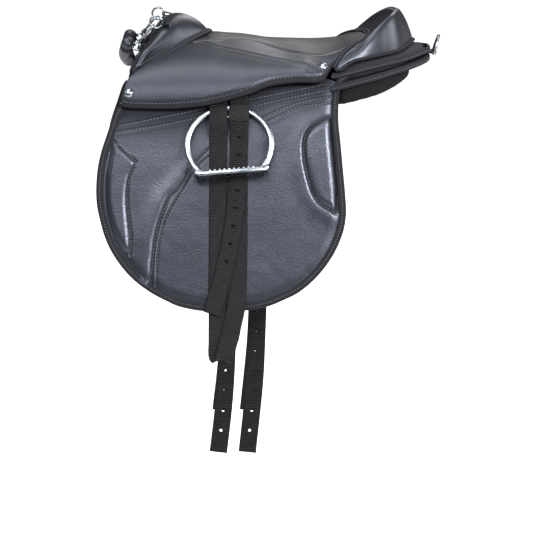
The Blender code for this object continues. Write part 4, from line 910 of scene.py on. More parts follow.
def skirt_tape():
    """Tape folded round the skirt's lower edge, and its stitches."""
    rings, thread = [], []
    for x in spaced(*SKIRT_TAPE_X, 150):
        start, out = skirt_place(x, tape_share(x))
        edge = Vector((x, *skirt_section(x)[2]))
        run = (edge - start).normalized()
        width = (edge - start).length
        sections = ((0.0, 0.2), (0.3, 1.0), (width * 0.45, 1.15), (width * 0.52, 0.75),
                    (width * 0.6, 1.15), (width - 1.6, 0.9), (width - 0.3, -0.1),
                    (width, -SKIRT_THICK / 2), (width - 0.3, -SKIRT_THICK),
                    (width - 1.6, -SKIRT_THICK - 0.8), (0.0, -SKIRT_THICK - 0.8))
        rings.append([start + run * a + out * b for a, b in sections])
        thread.append((start + run * width * 0.2 + out * 1.15, out))
    return (skin("near_skirt_edge_tape", rings, TAPE, 75),
            stitches("near_skirt_edge_thread", [thread], 5.0, 3.2, 0.5, DARK_THREAD))


def seam_row(offset):
    """Places along the seat's side seam, the given distance down the skirt."""
    row = []
    for x in spaced(*WELT_X, 90):
        top, bend, edge = skirt_section(x)
        size = (edge - top).length + (bend - top).length
        row.append(skirt_place(x, max(offset / size, 0.0)))
    return row


def uneven(ring):
    """The ring with the slight lumps of stuffed leather."""
    return [p + Vector((0, 0, 0.35 * noise.noise(p / 30))) for p in ring]


def rounded(ring, rounds):
    """The closed ring with its corners relaxed."""
    for _ in range(rounds):
        ring = [(ring[i - 1] + p * 2 + ring[(i + 1) % len(ring)]) / 4 for i, p in enumerate(ring)]
    return ring


def pommel_roll():
    """Stretched leather over the arched roll, one section for each step across the saddle."""
    rings = []
    for y in spaced(-POMMEL_HALF, POMMEL_HALF, 95):
        rear_x, rear_z, ridge_x, ridge_z, front_x, front_z = along(POMMEL, abs(y))
        swell = (ridge_z - rear_z) * 0.16
        drop = 3.5 + 0.08 * min(abs(y), 60)
        middle = 0.5 * (rear_x + ridge_x)
        nose = min(12.0, 0.5 * (ridge_x - front_x))
        ring = [(rear_x, y, rear_z), (middle + swell, y, 0.45 * rear_z + 0.55 * ridge_z + swell),
                (ridge_x + 9, y, ridge_z - 0.8), (ridge_x - 2, y, ridge_z + 0.3),
                (ridge_x - nose, y, ridge_z - drop * 0.8),
                (0.3 * (ridge_x - nose) + 0.7 * front_x - 1, y,
                 0.45 * front_z + 0.55 * ridge_z - 0.5 * drop),
                (front_x, y, front_z), (front_x + 5, y, front_z - 16),
                (0.5 * (rear_x + front_x), y, rear_z - 16), (rear_x - 4, y, rear_z - 4)]
        ring = rounded(through(ring, 6, closed=True), 26)
        rings.append(uneven(ring))
    return skin("pommel_roll_leather", rings, ROLL_LEATHER, 80)


def pommel_line(front, lift, out):
    """Foot of the pommel roll, behind or in front, lifted and moved outward."""
    row = []
    for y in spaced(-99, 99, 120):
        values = along(POMMEL, abs(y))
        x, z = (values[4], values[5]) if front else (values[0], values[1])
        row.append(Vector((x + out, y, z + lift)))
    return row


def cantle_ring(t):
    """Section of the cantle roll at t, from its near end 0 to the middle 5."""
    inner, rim, outer = (Vector(along([(n, *CANTLE[n][k]) for n in range(len(CANTLE))], t))
                         for k in range(3))
    across = outer - inner
    across.z = 0
    across.normalize()
    rise = min(1.0, 0.35 + t * 0.3)
    lip = 7.0 * rise
    low_in = inner - Vector((0, 0, 6 * rise))
    low_out = outer - across * 3.0 - Vector((0, 0, 3 * rise))
    ring = [inner, inner.lerp(rim, 0.45) + across * 2.5 * rise,
            rim - across * 1.5 - Vector((0, 0, lip * 0.8)), rim,
            rim + across * lip * 0.9 - Vector((0, 0, lip * 0.25)),
            rim.lerp(outer, 0.5) + across * 4.0 * rise + Vector((0, 0, 3 * rise)),
            outer, low_out, (low_in + low_out) / 2, low_in]
    return ring, across


def cantle_roll():
    """Stretched leather over the cantle, from its near end round to its off end."""
    rings = []
    for n in range(-CANTLE_STEPS, CANTLE_STEPS + 1):
        ring, _ = cantle_ring(CANTLE_MIDDLE * (1 - (abs(n) / CANTLE_STEPS) ** 1.15))
        side = -1 if n < 0 else 1
        ring = through([(p.x, p.y * side, p.z) for p in ring], 5, closed=True)
        rings.append(uneven(ring))
    return skin("cantle_roll_leather", rings, ROLL_LEATHER, 80)


def cantle_line(corner, lift, outward):
    """A line along the cantle roll: corner 0 is its inner foot, 3 its rim and 6 its outer foot."""
    line = []
    for n in range(-60, 61):
        ring, across = cantle_ring(CANTLE_MIDDLE * (1 - abs(n) / 60))
        p = ring[corner] + across * outward
        line.append(Vector((p.x, p.y * (-1 if n < 0 else 1), p.z + lift)))
    return line


# Section of the tape: distance out from the pad's edge, and height from the pad's top
EDGE_TAPE_SECTION = ((0.0, 0.5), (2.6, 0.3), (3.9, -0.6), (4.5, -2.4), (4.05, -4.2), (4.5, -6.0),
                     (3.9, -7.6), (2.6, -8.3), (0.0, -8.5))


def edge_tape(name, height_at, half_at, top_rise):
    """Woven tape around the rear edge of a pad, from the near side round to the off side."""
    low, high = EDGE_TAPE_X
    rows = [low + (high - low) * math.sin(math.pi / 2 * f) for f in spaced(0, 1, 61)]
    side = [Vector((x, -half_at(x), height_at(x))) for x in rows]
    side.append(Vector((rows[-1] + 1.2, 0, height_at(rows[-1]) + 0.3)))
    path = evenly(side + [Vector((p.x, -p.y, p.z)) for p in side[-2::-1]], 2.5)
    path = [path[0]] + [(path[i - 1] + path[i] * 2 + path[i + 1]) / 4
                        for i in range(1, len(path) - 1)] + [path[-1]]
    rings, thread = [], []
    for i, p in enumerate(path):
        run = slope_at(path, i)
        out = Vector((run.y, -run.x, 0)).normalized()
        rings.append([p + out * (a + GAP) + Vector((0, 0, top_rise + b))
                      for a, b in EDGE_TAPE_SECTION])
        thread.append((p + out * 4.5 + Vector((0, 0, top_rise - 4.2)), out))
    return skin(name, rings, TAPE, 75), tape_stitches(name + "_thread", [thread])


# Webbing
def strap_middle(v, layer=0):
    """Height of a strap's middle over the flap plane; layers lie on one another."""
    return along(STRAP_RISE, v) + WEB_THICK / 2 + layer * (WEB_THICK + 0.3)


# Places across a strap, from its near edge -1 to its far edge 1
STRAP_SECTION = (-1, -0.97, -0.86, -0.5, 0, 0.5, 0.86, 0.97, 1)


def webbing_strap(name, path, width=WEB_WIDTH, thick=WEB_THICK, wide=Vector((1, 0, 0)),
                  ends=(0.0, 0.0)):
    """Ribbed webbing along a path: wide is the direction across it.

    ends slope its two ends, so that they follow the flap's fold line.
    """
    step = RIB / 4
    path = evenly(path, step)
    rings = []
    count = len(path) - 1
    for i, p in enumerate(path):
        run = slope_at(path, i)
        across = (wide - run * wide.dot(run)).normalized()
        up = across.cross(run)
        wave = RIB_HEIGHT * math.cos(math.pi * i / 2)
        tilt = sum(slope * max(0.0, 1 - left * step / 14)
                   for slope, left in zip(ends, (i, count - i)))
        top, low = [], []
        for a in STRAP_SECTION:
            edge = 0.35 if abs(a) == 1 else 0.75 if abs(a) > 0.9 else 1.0
            deep = (thick / 2 - 0.2) * edge + (wave if abs(a) < 0.9 else 0.0)
            place = p + across * a * width / 2 + run * tilt * a * width / 2
            top.append(place + up * deep)
            low.append(place - up * deep)
        rings.append(top + low[::-1])
    return skin(name, rings, WEBBING, 75)


def punched(strap, places, out):
    """Round holes through the strap."""
    bm = bmesh.new()
    side = Vector((1, 0, 0))
    for place in places:
        turn = Matrix.Scale(MM, 4) @ frame_at(place, side, out.cross(side), out)
        bmesh.ops.create_cone(bm, cap_ends=True, segments=20, radius1=HOLE_RADIUS,
                              radius2=HOLE_RADIUS, depth=9, matrix=turn)
    tool = from_bmesh(strap.name + "_punch", bm, WEBBING)
    step = strap.modifiers.new("holes", "BOOLEAN")
    step.operation = "DIFFERENCE"
    step.solver = "EXACT"
    step.object = tool
    ready = strap.evaluated_get(bpy.context.evaluated_depsgraph_get())
    mesh = bpy.data.meshes.new_from_object(ready)
    strap.modifiers.clear()
    strap.data = mesh
    bpy.data.objects.remove(tool, do_unlink=True)
    return strap


def eyelets(name, places, out):
    """Heat-sealed rims round the punched holes."""
    side = Vector((1, 0, 0))
    up = out.cross(side)
    rims = []
    for n, place in enumerate(places):
        ring = [place + (side * math.cos(a) + up * math.sin(a)) * RIM_RADIUS
                + out * (WEB_THICK / 2 - 0.1) for a in angles(20)]
        rims.append(cord("%s_%d" % (name, n), ring, RIM_WIRE, WEBBING, [out] * 20, 6,
                         joined=True))
    return joined(name, rims)


def rear_run_x(v):
    """Middle of the loop's rear run."""
    return along(((20, REAR_RUN_X), (300, -34.0), (345, -42.0), (LOOP_BOTTOM, -49.0)), v)


def tail_x(v):
    """Middle of the punched end, which swings forward over the loop."""
    return along(((20, REAR_RUN_X), (75, -31.5), (103, -32.5), (153, -35), (178, -37), (201, -40),
                  (224, -44), (249, -49), (285, -58), (TAIL_END, -68)), v)


def leather_loop():
    """The stirrup leather's two hanging runs, turned at the bottom."""
    front_start, rear_start = hinge_v(FRONT_RUN_X) + GAP, hinge_v(REAR_RUN_X) + GAP
    low = strap_middle(LOOP_BOTTOM)
    path = [on_flap(FRONT_RUN_X - 0.003 * v, v, strap_middle(v))
            for v in spaced(front_start, LOOP_BOTTOM - 20, 140)]
    turn = [(-61.5, LOOP_BOTTOM - 14, low), (-61, LOOP_BOTTOM - 5, low + 0.4),
            (-58, LOOP_BOTTOM - 1.5, low + 1.8), (-55, LOOP_BOTTOM, low + 4.2),
            (-52, LOOP_BOTTOM - 1.5, low + 6.6), (-49.5, LOOP_BOTTOM - 6, low + 7.6),
            (-48, LOOP_BOTTOM - 16, low + 6.0)]
    path += through([on_flap(*p) for p in turn], 5)
    for v in spaced(352, rear_start, 130):
        over = along(((296, 0.0), (312, 2.4), (400, 2.6)), v)
        path.append(on_flap(rear_run_x(v), v, strap_middle(v) + over))
    return webbing_strap("near_leather_runs", path, ends=(-HINGE_SLOPE, HINGE_SLOPE))


def leather_tail():
    """The stirrup leather's punched end, and the rims of its holes."""
    start = hinge_v(REAR_RUN_X) + GAP
    path = [on_flap(tail_x(v), v, strap_middle(v, 1)) for v in spaced(start, TAIL_END, 150)]
    tail = webbing_strap("near_leather_end", path, ends=(-HINGE_SLOPE, 0.0))
    holes = [on_flap(tail_x(v), v, strap_middle(v, 1))
             for v in (TAIL_FIRST_HOLE + TAIL_HOLE_PITCH * n for n in range(TAIL_HOLES))]
    return (punched(tail, holes, FLAP_OUT),
            eyelets("near_leather_hole_rims", holes, FLAP_OUT))


def leather_top():
    """Both runs folded over the stirrup bar, with the buckled end."""
    bar_w = GAP + WEB_THICK + GAP + BAR_RADIUS
    turn = strap_middle(BAR_V) - bar_w
    runs = []
    for n, x in enumerate((FRONT_RUN_X, REAR_RUN_X)):
        path = [on_flap(x, v, strap_middle(v)) for v in spaced(hinge_v(x) - GAP, 4, 12)]
        for angle in spaced(0, math.pi, 13):
            path.append(on_flap(x, BAR_V - turn * math.sin(angle),
                                bar_w + turn * math.cos(angle)))
        path += [on_flap(x, v, GAP + WEB_THICK / 2) for v in (BAR_V + 6, 10)]
        runs.append(webbing_strap("run_%d" % n, path, ends=(HINGE_SLOPE, 0.0)))
    stub = [on_flap(REAR_RUN_X, v, strap_middle(v, layer)) for v, layer in
            ((hinge_v(REAR_RUN_X) - GAP, 1.1), (22, 1.1), (16, 1.1), (11, 1.05), (5, 0.9),
             (1, 0.8))]
    runs.append(webbing_strap("stub", stub, WEB_WIDTH - 0.6, ends=(HINGE_SLOPE, 0.0)))
    return joined("near_leather_fold", runs)


def keeper():
    """Webbing sleeve with upright ribs round the rear run and the tail."""
    start, stop = hinge_v(REAR_RUN_X) + 2.6, 55.0
    rings = []
    half, deep, wall_thick, rib, ribs = WEB_WIDTH / 2 + 1.3, 3.1, 0.8, 0.14, 28
    for inner in (0, 1):
        for v in spaced(start, stop, 12)[::-1 if inner else 1]:
            ring = []
            for angle in angles(96):
                wall = wall_thick if inner else rib * math.cos(angle * ribs)
                a = math.copysign(min(1.0, abs(1.25 * math.cos(angle)) ** 0.6), math.cos(angle))
                b = math.copysign(min(1.0, abs(1.1 * math.sin(angle)) ** 0.35), math.sin(angle))
                slide = -HINGE_SLOPE * a * half * max(0.0, 1 - (v - start) / 12)
                middle = strap_middle(v + slide, 0.5)
                ring.append(on_flap(REAR_RUN_X + 0.3 + a * (half - wall), v + slide,
                                    middle + b * (deep - wall)))
            rings.append(ring)
    return skin("near_webbing_keeper", rings, WEBBING, 75, joined=True)


def girth_strap(name, route):
    """Punched girth strap hanging from behind the flap, and the rims of its holes."""
    top = on_flap(0, 28.0, -FLAP_THICK - GAP - WEB_THICK / 2)
    lower_y = top.y - 0.6

    def place(z):
        lean = max(0.0, (z - GIRTH_STRAIGHT) / (top.z - GIRTH_STRAIGHT))
        return Vector((along([(-a, b) for a, b in route], -z), lower_y + 0.6 * lean, z))

    strap = webbing_strap(name, [place(z) for z in spaced(top.z - 1.0, GIRTH_END, 120)])
    holes = [place(GIRTH_END + GIRTH_FIRST_HOLE + GIRTH_HOLE_PITCH * n)
             for n in range(GIRTH_HOLES)]
    out = Vector((0, -1, 0))
    return punched(strap, holes, out), eyelets(name + "_hole_rims", holes, out)


# Metal
def iron_frame():
    """Axes of the iron: across, down its plane, and out of it; the origin is the crown."""
    down = FLAP_DOWN * math.cos(IRON_LEAN) + FLAP_OUT * math.sin(IRON_LEAN)
    across = Vector((1, 0, 0))
    rolled = across * math.cos(IRON_ROLL) - down * math.sin(IRON_ROLL)
    down = down * math.cos(IRON_ROLL) + across * math.sin(IRON_ROLL)
    return frame_at(on_flap(*IRON_CROWN), rolled, down, rolled.cross(down))


def iron_arms(placed):
    """Round arms of the iron, flared towards the tread."""
    foot = [Vector((47.0, TREAD_V - 1.0)), Vector((46.5, TREAD_V - 4.0))]
    line = [Vector((-p.x, p.y)) for p in foot]
    for angle in spaced(math.radians(-218), math.radians(38), 61):
        line.append(Vector((IRON_RADIUS * math.cos(angle),
                            IRON_HEIGHT + IRON_HEIGHT * math.sin(angle))))
    line = evenly(through(line + foot[::-1], 3), 2.5)
    rings = []
    for i, p in enumerate(line):
        run = slope_at(line, i)
        out = Vector((run.y, -run.x))
        flare = 1 + 0.35 * max(0.0, 1 - min(i, len(line) - 1 - i) / 8)
        ring = []
        for a, b in (blunt(angle, 0.8) for angle in angles(20)):
            flat = p + out * a * 4.0 * flare
            ring.append(placed @ Vector((flat.x, flat.y, b * 2.5 * flare)))
        rings.append(ring)
    return skin("arms", rings, METAL, 60)


def iron_tread(placed):
    """Toothed plate, extruded from its side view and rounded at its edges."""
    outline = [(-47, 2.6), (-49.5, 1.0), (-50.5, -2.0), (-49.8, -6.0), (-45.5, -6.5), (-42, -4.5),
               (-38, -3.0)]
    for n in range(10):
        a = -33 + 6.6 * n
        outline += [(a + 0.6, -2.7), (a + 2.9, -5.2), (a + 3.7, -5.2), (a + 6.0, -2.7)]
    outline += [(-a, t) for a, t in outline[6::-1]]
    bm = bmesh.new()
    ring = [bm.verts.new(placed @ Vector((a, TREAD_V + t, -TREAD_WIDTH / 2)) * MM)
            for a, t in outline]
    edges = [bm.edges.new((ring[i - 1], vert)) for i, vert in enumerate(ring)]
    face = bmesh.ops.contextual_create(bm, geom=edges)["faces"]
    grown = bmesh.ops.extrude_face_region(bm, geom=face)["geom"]
    moved = [item for item in grown if isinstance(item, bmesh.types.BMVert)]
    bmesh.ops.translate(bm, vec=placed.col[2].to_3d() * TREAD_WIDTH * MM, verts=moved)
    bmesh.ops.recalc_face_normals(bm, faces=bm.faces)
    rim = [e for e in bm.edges if e.calc_face_angle(0.0) > 0.6]
    bmesh.ops.bevel(bm, geom=rim, offset=0.45 * MM, affect="EDGES", segments=2, profile=0.5,
                    material=-1)
    bm.loops.layers.uv.new("weave")
    return from_bmesh("plate", bm, METAL, 35)


def stirrup_iron():
    """Round iron with a toothed tread and an eye for the leather, cast and polished."""
    placed = iron_frame()
    eye = [placed @ Vector((a * 15.5, 7.6 + t * 5.8, 0))
           for a, t in (blunt(angle, 0.35) for angle in angles(40))]
    eye = cord("eye", eye, 1.9, METAL, [placed.col[2].to_3d()] * 40, 10, joined=True)
    return joined("near_iron", [iron_arms(placed), iron_tread(placed), eye])


SNAP_DOWN = Vector((-math.cos(SNAP_LEAN), 0, -math.sin(SNAP_LEAN)))
SNAP_ACROSS = Vector((math.sin(SNAP_LEAN), 0, -math.cos(SNAP_LEAN)))


def snap_point(s, y):
    """Place on the hook's plane: s down from the ring's wire, y across the saddle."""
    return RING_PLACE + SNAP_DOWN * (RING_RADIUS + s) + Vector((0, y, 0))


def wire_ring(name, centre, radius, wire, normal, finish=METAL):
    """Closed ring of round wire."""
    turn = Vector((0, 0, 1)).rotation_difference(Vector(normal)).to_matrix()
    points = [Vector(centre) + turn @ Vector((radius * math.cos(a), radius * math.sin(a), 0))
              for a in angles(48)]
    return cord(name, points, wire, finish, [Vector(normal)] * 48, 12, joined=True)


def turned(name, profile, centre, axis):
    """Round metal part spun from its profile of (radius, height) along the axis."""
    bm = bmesh.new()
    line = [bm.verts.new((r, 0, h)) for r, h in profile]
    edges = [bm.edges.new(pair) for pair in zip(line, line[1:])]
    bmesh.ops.spin(bm, geom=line + edges, cent=(0, 0, 0), axis=(0, 0, 1), angle=2 * math.pi,
                   steps=28, use_merge=True)
    bmesh.ops.remove_doubles(bm, verts=bm.verts, dist=0.001)
    bmesh.ops.recalc_face_normals(bm, faces=bm.faces)
    turn = Vector((0, 0, 1)).rotation_difference(Vector(axis)).to_matrix().to_4x4()
    turn.translation = centre
    bmesh.ops.transform(bm, matrix=Matrix.Scale(MM, 4) @ turn, verts=bm.verts)
    bm.loops.layers.uv.new("weave")
    return from_bmesh(name, bm, METAL, 40)


def snap_hook():
    """Cast hook with its swivel barrel."""
    bend, half, length = HOOK_TOP + HOOK_HALF, HOOK_HALF, HOOK_LENGTH
    line = [(length + 1, 0.0), (length - 1, 1.2), (length - 4, half), (bend + 3, half)]
    line += [(bend - half * math.sin(a), half * math.cos(a)) for a in spaced(0, math.pi, 9)]
    line.append((bend + 2.5, -half))
    path = evenly(through([snap_point(s, y) for s, y in line], 4), 0.8)
    hook = cord("hook", path, 1.6, METAL, [SNAP_ACROSS] * len(path), 12, taper=1.2)
    profile = ((0, 0), (2.2, 0), (3.1, 0.7), (3.1, 2.2), (2.5, 2.7), (2.5, 3.5), (3.4, 4.0),
               (3.4, 6.3), (2.8, BARREL_LENGTH), (0, BARREL_LENGTH))
    body = turned("barrel", profile, snap_point(length, 0), SNAP_DOWN)
    return joined("near_snap_hook", [hook, body])


def snap_gate():
    """Sprung gate from the hook's shank to its tip."""
    tip = HOOK_TOP + HOOK_HALF + 2.5
    path = evenly([snap_point(18.8, -4.6), snap_point(tip + 2, -5.0), snap_point(tip + 0.5, -5.0)],
                  0.8)
    return cord("near_gate", path, 1.36, METAL, [SNAP_ACROSS] * len(path), 12, taper=0.8)


def snap_eye():
    """Swivel eye with the stem that turns in the barrel."""
    loop = wire_ring("loop", snap_point(EYE_S, 0), EYE_RADIUS, 1.4, (0, 1, 0))
    stem = turned("stem", ((0, 0), (1.9, 0), (1.9, 3.6), (0, 3.6)), snap_point(27.5, 0), SNAP_DOWN)
    return joined("near_swivel_eye", [loop, stem])


def grab_handle():
    """Leather-wrapped roll with webbing sleeves and a loop through each swivel eye."""
    wire = snap_point(EYE_S, 0) - SNAP_ACROSS * EYE_RADIUS
    loop_centre = wire - SNAP_ACROSS * 0.6
    end = loop_centre - SNAP_ACROSS * 8.5 + Vector((0, 2.0, 0))
    half = [end, Vector((-190, -38, 41)), Vector((-193, -22, 29)), Vector((-189.5, -8, 19.5))]
    path = evenly(through(half + [Vector((p.x, -p.y, p.z)) for p in half[::-1]], 8),
                  GRAB_STEP)
    rings, sleeve = [], []
    for i, p in enumerate(path):
        run = slope_at(path, i)
        left = min(i, len(path) - 1 - i) * GRAB_STEP
        size = GRAB_RADIUS * math.sqrt(1 - (1 - min(left / 7, 1)) ** 2 * 0.75)
        crease = 0.25 * math.cos(left * 1.3) * max(0.0, 1 - abs(left - 26) / 14)
        rings.append(round_section(p, run, Vector((1, 0, 0)), size + crease, 28))
        if 9 < left < 19:
            sleeve.append((i, round_section(p, run, Vector((1, 0, 0)),
                                           GRAB_RADIUS + 0.25, 28)))
    roll = skin("grab_roll", rings, ROLL_LEATHER, 80)
    middle = len(path) / 2
    bands = [skin("grab_sleeve_" + side, [ring for i, ring in sleeve if (i < middle) == first],
                  TAPE, 60) for side, first in (("near", True), ("off", False))]
    loops = []
    for sign in (1, -1):
        centre = Vector((loop_centre.x, loop_centre.y * sign, loop_centre.z))
        loops.append(wire_ring("strap_loop_%d" % (sign + 1), centre, 3.5, 1.1, SNAP_DOWN, WEBBING))
    return roll, bands, joined("grab_strap_loops", loops)


def ring_tab():
    """Webbing tab folded round the front ring."""
    lean = math.radians(12)
    x_axis = Vector((math.cos(lean), 0, -math.sin(lean)))
    z_axis = Vector((math.sin(lean), 0, math.cos(lean)))
    hold = RING_PLACE + Vector((8.4, 0, -0.1))
    path = [hold + x_axis * s + z_axis * h for s, h in
            ((11, -1.9), (4, -2.2), (0.5, -2.6), (-2.3, -1.4), (-2.3, 1.4), (0.5, 2.6),
             (4, 2.4), (11, 1.9))]
    return webbing_strap("near_ring_tab_webbing", through(path, 5), 8.0, 1.5, Vector((0, 1, 0)))


def crupper_dee():
    """Round-wire dee, leaning back from its straight bar."""
    lift = Vector((math.sin(DEE_LEAN), 0, math.cos(DEE_LEAN))) * DEE_HEIGHT
    points = [DEE_BAR + Vector((0, y, 0)) for y in (-13, -12, -6, 0, 6, 12, 13)]
    points += [DEE_BAR + Vector((0, DEE_HALF * math.cos(a), 0)) + lift * math.sin(a)
               for a in (math.pi * n / 16 for n in range(1, 16))]
    return cord("crupper_dee_wire", through(points, 3, closed=True), 2.0, METAL,
                [Vector((1, 0, -0.3))] * (3 * len(points)), 14, joined=True)


def crupper_tab():
    """Webbing tab folded round the dee's bar."""
    path = [Vector((x, 0, DEE_BAR.z - 1.0)) for x in (213.5, 222, 232)]
    path.append(DEE_BAR + Vector((-4.5, 0, -1.4)))
    path += [DEE_BAR + Vector((3.1 * math.cos(a), 0, 3.1 * math.sin(a)))
             for a in spaced(math.radians(-150), math.radians(150), 7)]
    path.append(DEE_BAR + Vector((-4.5, 0, 1.6)))
    return webbing_strap("crupper_tab_webbing", through(path, 5), 20.0, 1.5, Vector((0, 1, 0)))


def stud(name, x, drop):
    """Domed stud on the skirt."""
    place, out = skirt_place(x, drop)
    profile = [(0.0, 3.2), (2.2, 3.0), (4.2, 2.35), (5.6, 1.4), (6.4, 0.5), (6.5, 0.0),
               (6.0, -0.5), (0.0, -0.5)]
    return turned(name, profile, place + out * 0.8, out)


# Assembling the pieces
def make_flaps():
    """Flap leather, its stitches and its edge tape."""
    use_fold(flap_panel(),
             ["near_flap", "near_flap_head", "near_knee_pad", "near_thigh_pad"])
    for thread in flap_stitches():
        use_pair(thread, "near_flap")
    rows = [flap_row(smooth_line(line)) for line in HEAD_SEAMS]
    use_pair(stitches("near_head_stitching", rows), "saddle")
    tape, thread = flap_binding()
    use_fold(tape, ["near_flap_binding"])
    use_fold(thread)


def make_seat():
    """Seat panel and foam, skirts, their stitches and tape, and the welt between them."""
    use(seat_cover(), "saddle", ["seat_cover"])
    use(soft_copy("seat_foam_block", ["seat_foam"], 4.0, 4, 0.0, FOAM), "saddle",
        ["seat_foam"])
    use_pair(skirt(), "saddle", ["near_skirt"])
    tape, thread = skirt_tape()
    use_pair(tape, "saddle", ["near_skirt_binding"])
    use_pair(thread, "saddle")
    rows = [[(p + out * 0.1, out) for p, out in seam_row(3.2)],
            [(p - out * 1.0, out) for p, out in SEAM_ROW]]
    use_pair(stitches("near_skirt_stitching", rows), "saddle")
    welt = [p - out * 0.55 for p, out in seam_row(0.0)]
    use_pair(cord("near_seat_welt", welt, 1.3, SEAT, sides=12), "saddle")


def band(name, path, outs, width):
    """Flat stitched tape over a seam, with two rows of thread."""
    tape = cord(name, path, width / 2, TAPE, outs, 18, 0.42, taper=3)
    rows = []
    for shift in (-0.26, 0.26):
        row = []
        for i, (p, out) in enumerate(zip(path, outs)):
            across = out.cross(slope_at(path, i)).normalized()
            row.append((p + across * width * shift + out * width * 0.19, out))
        rows.append(row)
    return tape, tape_stitches(name + "_thread", rows)


def make_rolls():
    """Pommel and cantle rolls, with the tapes over their seams."""
    for name, piece in (("pommel_roll", pommel_roll()), ("cantle_roll", cantle_roll())):
        use(piece, "saddle", [name])
    rear = pommel_line(False, 0.4, 1.6)
    outs = [Vector((0.45, p.y / 110, 0.8)).normalized() for p in rear]
    inner = cantle_line(0, 1.2, -2.2)
    inner_outs = [Vector((-0.55, p.y / 120, 0.75)).normalized() for p in inner]
    tapes = [*band("pommel_seam_tape", rear, outs, 8.4),
             *band("cantle_seam_tape", inner, inner_outs, 9.4)]
    for name, line in (("pommel_front_tape", pommel_line(True, 0.0, -0.8)),
                       ("cantle_outer_tape", cantle_line(6, 0.0, 0.8))):
        tapes.append(cord(name, line, 2.6, TAPE, sides=14, taper=3))
    for piece in tapes:
        use(piece, "saddle")


def make_pads():
    """Softened pads and cushions, and the tapes round the rear edge."""
    for name, node, voxel, rounds, swell, finish, slot, fill in (
            ("arched_base_pad", "base_pad", 2.2, 3, 0.2, MESH, "mesh_fabric", 0.3),
            ("cantle_wedge", "cantle_base", 2.4, 4, 0.2, FOAM, "foam", 0.6),
            ("near_panel_cushion", "near_under_panel", 3.2, 9, 0.9, MESH, "mesh_fabric", 0.8),
            ("off_panel_cushion", "off_under_panel", 3.2, 9, 0.9, MESH, "mesh_fabric", 0.8)):
        use(soft_copy(name, [node], voxel, rounds, swell, finish), "saddle", [node])
    for name, height, half, rise in (
            ("cantle_tape_low", lambda x: along(BASE_EDGE_Z, x),
             lambda x: along(REAR_HALF, x), 0.7),
            ("cantle_tape_high", lambda x: along(CANTLE_PAD, x)[1],
             lambda x: along(CANTLE_PAD, x)[0], 1.0)):
        tape, thread = edge_tape(name + "_woven", height, half, rise)
        use(tape, "saddle", [name])
        use(thread, "saddle")


def make_straps():
    """Stirrup leathers and girth straps."""
    tail, rims = leather_tail()
    for piece, body, nodes in ((leather_loop(), "near_leather", ["near_leather_loop"]),
                               (tail, "near_leather", ["near_leather_tail"]),
                               (rims, "near_leather", []),
                               (keeper(), "near_leather", ["near_keeper"]),
                               (leather_top(), "saddle", ["near_leather_top"])):
        use_pair(piece, body, nodes)
    for place, route in (("front", FRONT_GIRTH), ("rear", REAR_GIRTH)):
        strap, rims = girth_strap("near_%s_girth_webbing" % place, route)
        use_pair(strap, "near_%s_girth" % place, ["near_%s_girth_strap" % place])
        use_pair(rims, "near_%s_girth" % place)


def make_metal():
    """Irons, snaps, rings, studs and dee, and the soft parts that they hold."""
    ring = wire_ring("near_ring_wire", RING_PLACE, RING_RADIUS, RING_WIRE, (0, 1, 0))
    for piece, body, node in ((stirrup_iron(), "near_iron", "near_stirrup_iron"),
                              (snap_hook(), "grab_handle", "near_snap_body"),
                              (snap_gate(), "near_gate", "near_snap_gate"),
                              (snap_eye(), "grab_handle", "near_snap_eye"),
                              (ring, "grab_handle", "near_ring"),
                              (stud("near_front_dome", -184, 0.62), "saddle",
                               "near_front_stud"),
                              (stud("near_rear_dome", 85, 0.51), "saddle", "near_rear_stud")):
        use_pair(piece, body, [node])
    use_pair(ring_tab(), "saddle", ["near_ring_tab"])
    roll, sleeves, loops = grab_handle()
    use(roll, "grab_handle", ["grab_strap"])
    for piece in (*sleeves, loops):
        use(piece, "grab_handle")
    use(crupper_dee(), "crupper_dee", ["crupper_dee"])
    use(crupper_tab(), "saddle", ["crupper_tab"])
    for side in ("near", "off"):
        for node in ("_buckle", "_stirrup_bar"):
            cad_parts[side + node].data.materials.clear()
            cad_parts[side + node].data.materials.append(METAL)


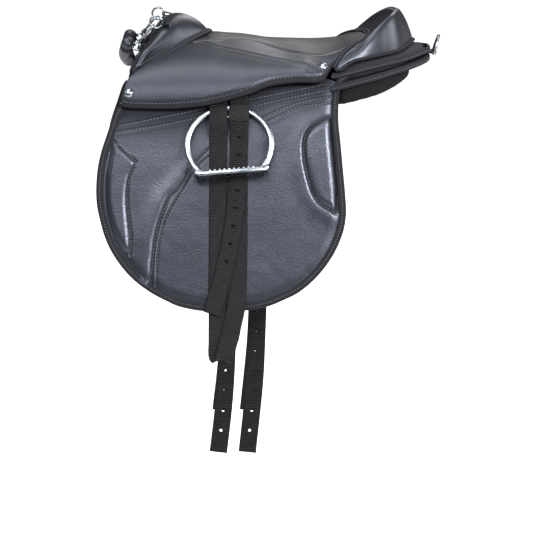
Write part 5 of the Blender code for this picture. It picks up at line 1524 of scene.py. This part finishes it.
# Photograph's camera, light and floor
def place_in_scene(name, data, place, aim):
    """Camera or lamp at the place, turned to what it aims at."""
    made = bpy.data.objects.new(name, data)
    made.location = place
    made.rotation_euler = (aim - made.location).to_track_quat("-Z", "Y").to_euler()
    bpy.context.scene.collection.objects.link(made)
    return made


def make_stage():
    """Camera of the photograph, white floor, softboxes and daylight."""
    back = Vector((0, -math.cos(CAMERA_TILT), math.sin(CAMERA_TILT)))
    up = Vector((0, math.sin(CAMERA_TILT), math.cos(CAMERA_TILT)))
    target = Vector((1, 0, 0)) * AIM_RIGHT * PIXEL - up * AIM_DOWN * PIXEL
    lens = bpy.data.cameras.new("camera")
    lens.lens = 36 * CAMERA_AWAY / (PHOTO_SIDE * PIXEL)
    bpy.context.scene.camera = place_in_scene("camera", lens, back * CAMERA_AWAY, target)

    bm = bmesh.new()
    bmesh.ops.create_circle(bm, cap_ends=True, radius=40, segments=64,
                            matrix=Matrix.Translation((0, 0, FLOOR_Z)))
    # Matt white emulsion on a plain studio floor
    paint, tree, shader = blank_finish("matt_white_floor", 0.9)
    mottle = speckle(tree, object_place(tree), 3.0, 3.0)
    tree.links.new(two_tone(tree, mottle, "#f4f4f4", "#f8f8f8"), shader.inputs["Base Color"])
    from_bmesh("studio_floor", bm, paint)

    middle = Vector((-0.03, 0, -0.15))
    for name, place, size, power in SOFTBOXES:
        lamp = bpy.data.lights.new(name, "AREA")
        lamp.shape = "RECTANGLE"
        lamp.energy = power
        lamp.size, lamp.size_y = size
        place_in_scene(name, lamp, place, middle)
    daylight = bpy.data.lights.new("overhead_light", "SUN")
    daylight.energy = 3.5
    daylight.angle = math.radians(40)
    place_in_scene("overhead_light", daylight, (-0.3, -0.1, 2.6), middle)
    world = bpy.data.worlds.new("white_surround")
    world.use_nodes = True
    surround = world.node_tree.nodes["Background"].inputs
    surround["Color"].default_value = (1, 1, 1, 1)
    surround["Strength"].default_value = 0.08
    bpy.context.scene.world = world
    bpy.context.scene.view_settings.view_transform = "Standard"


make_stage()
make_flaps()
make_seat()
make_rolls()
make_pads()
make_straps()
make_metal()
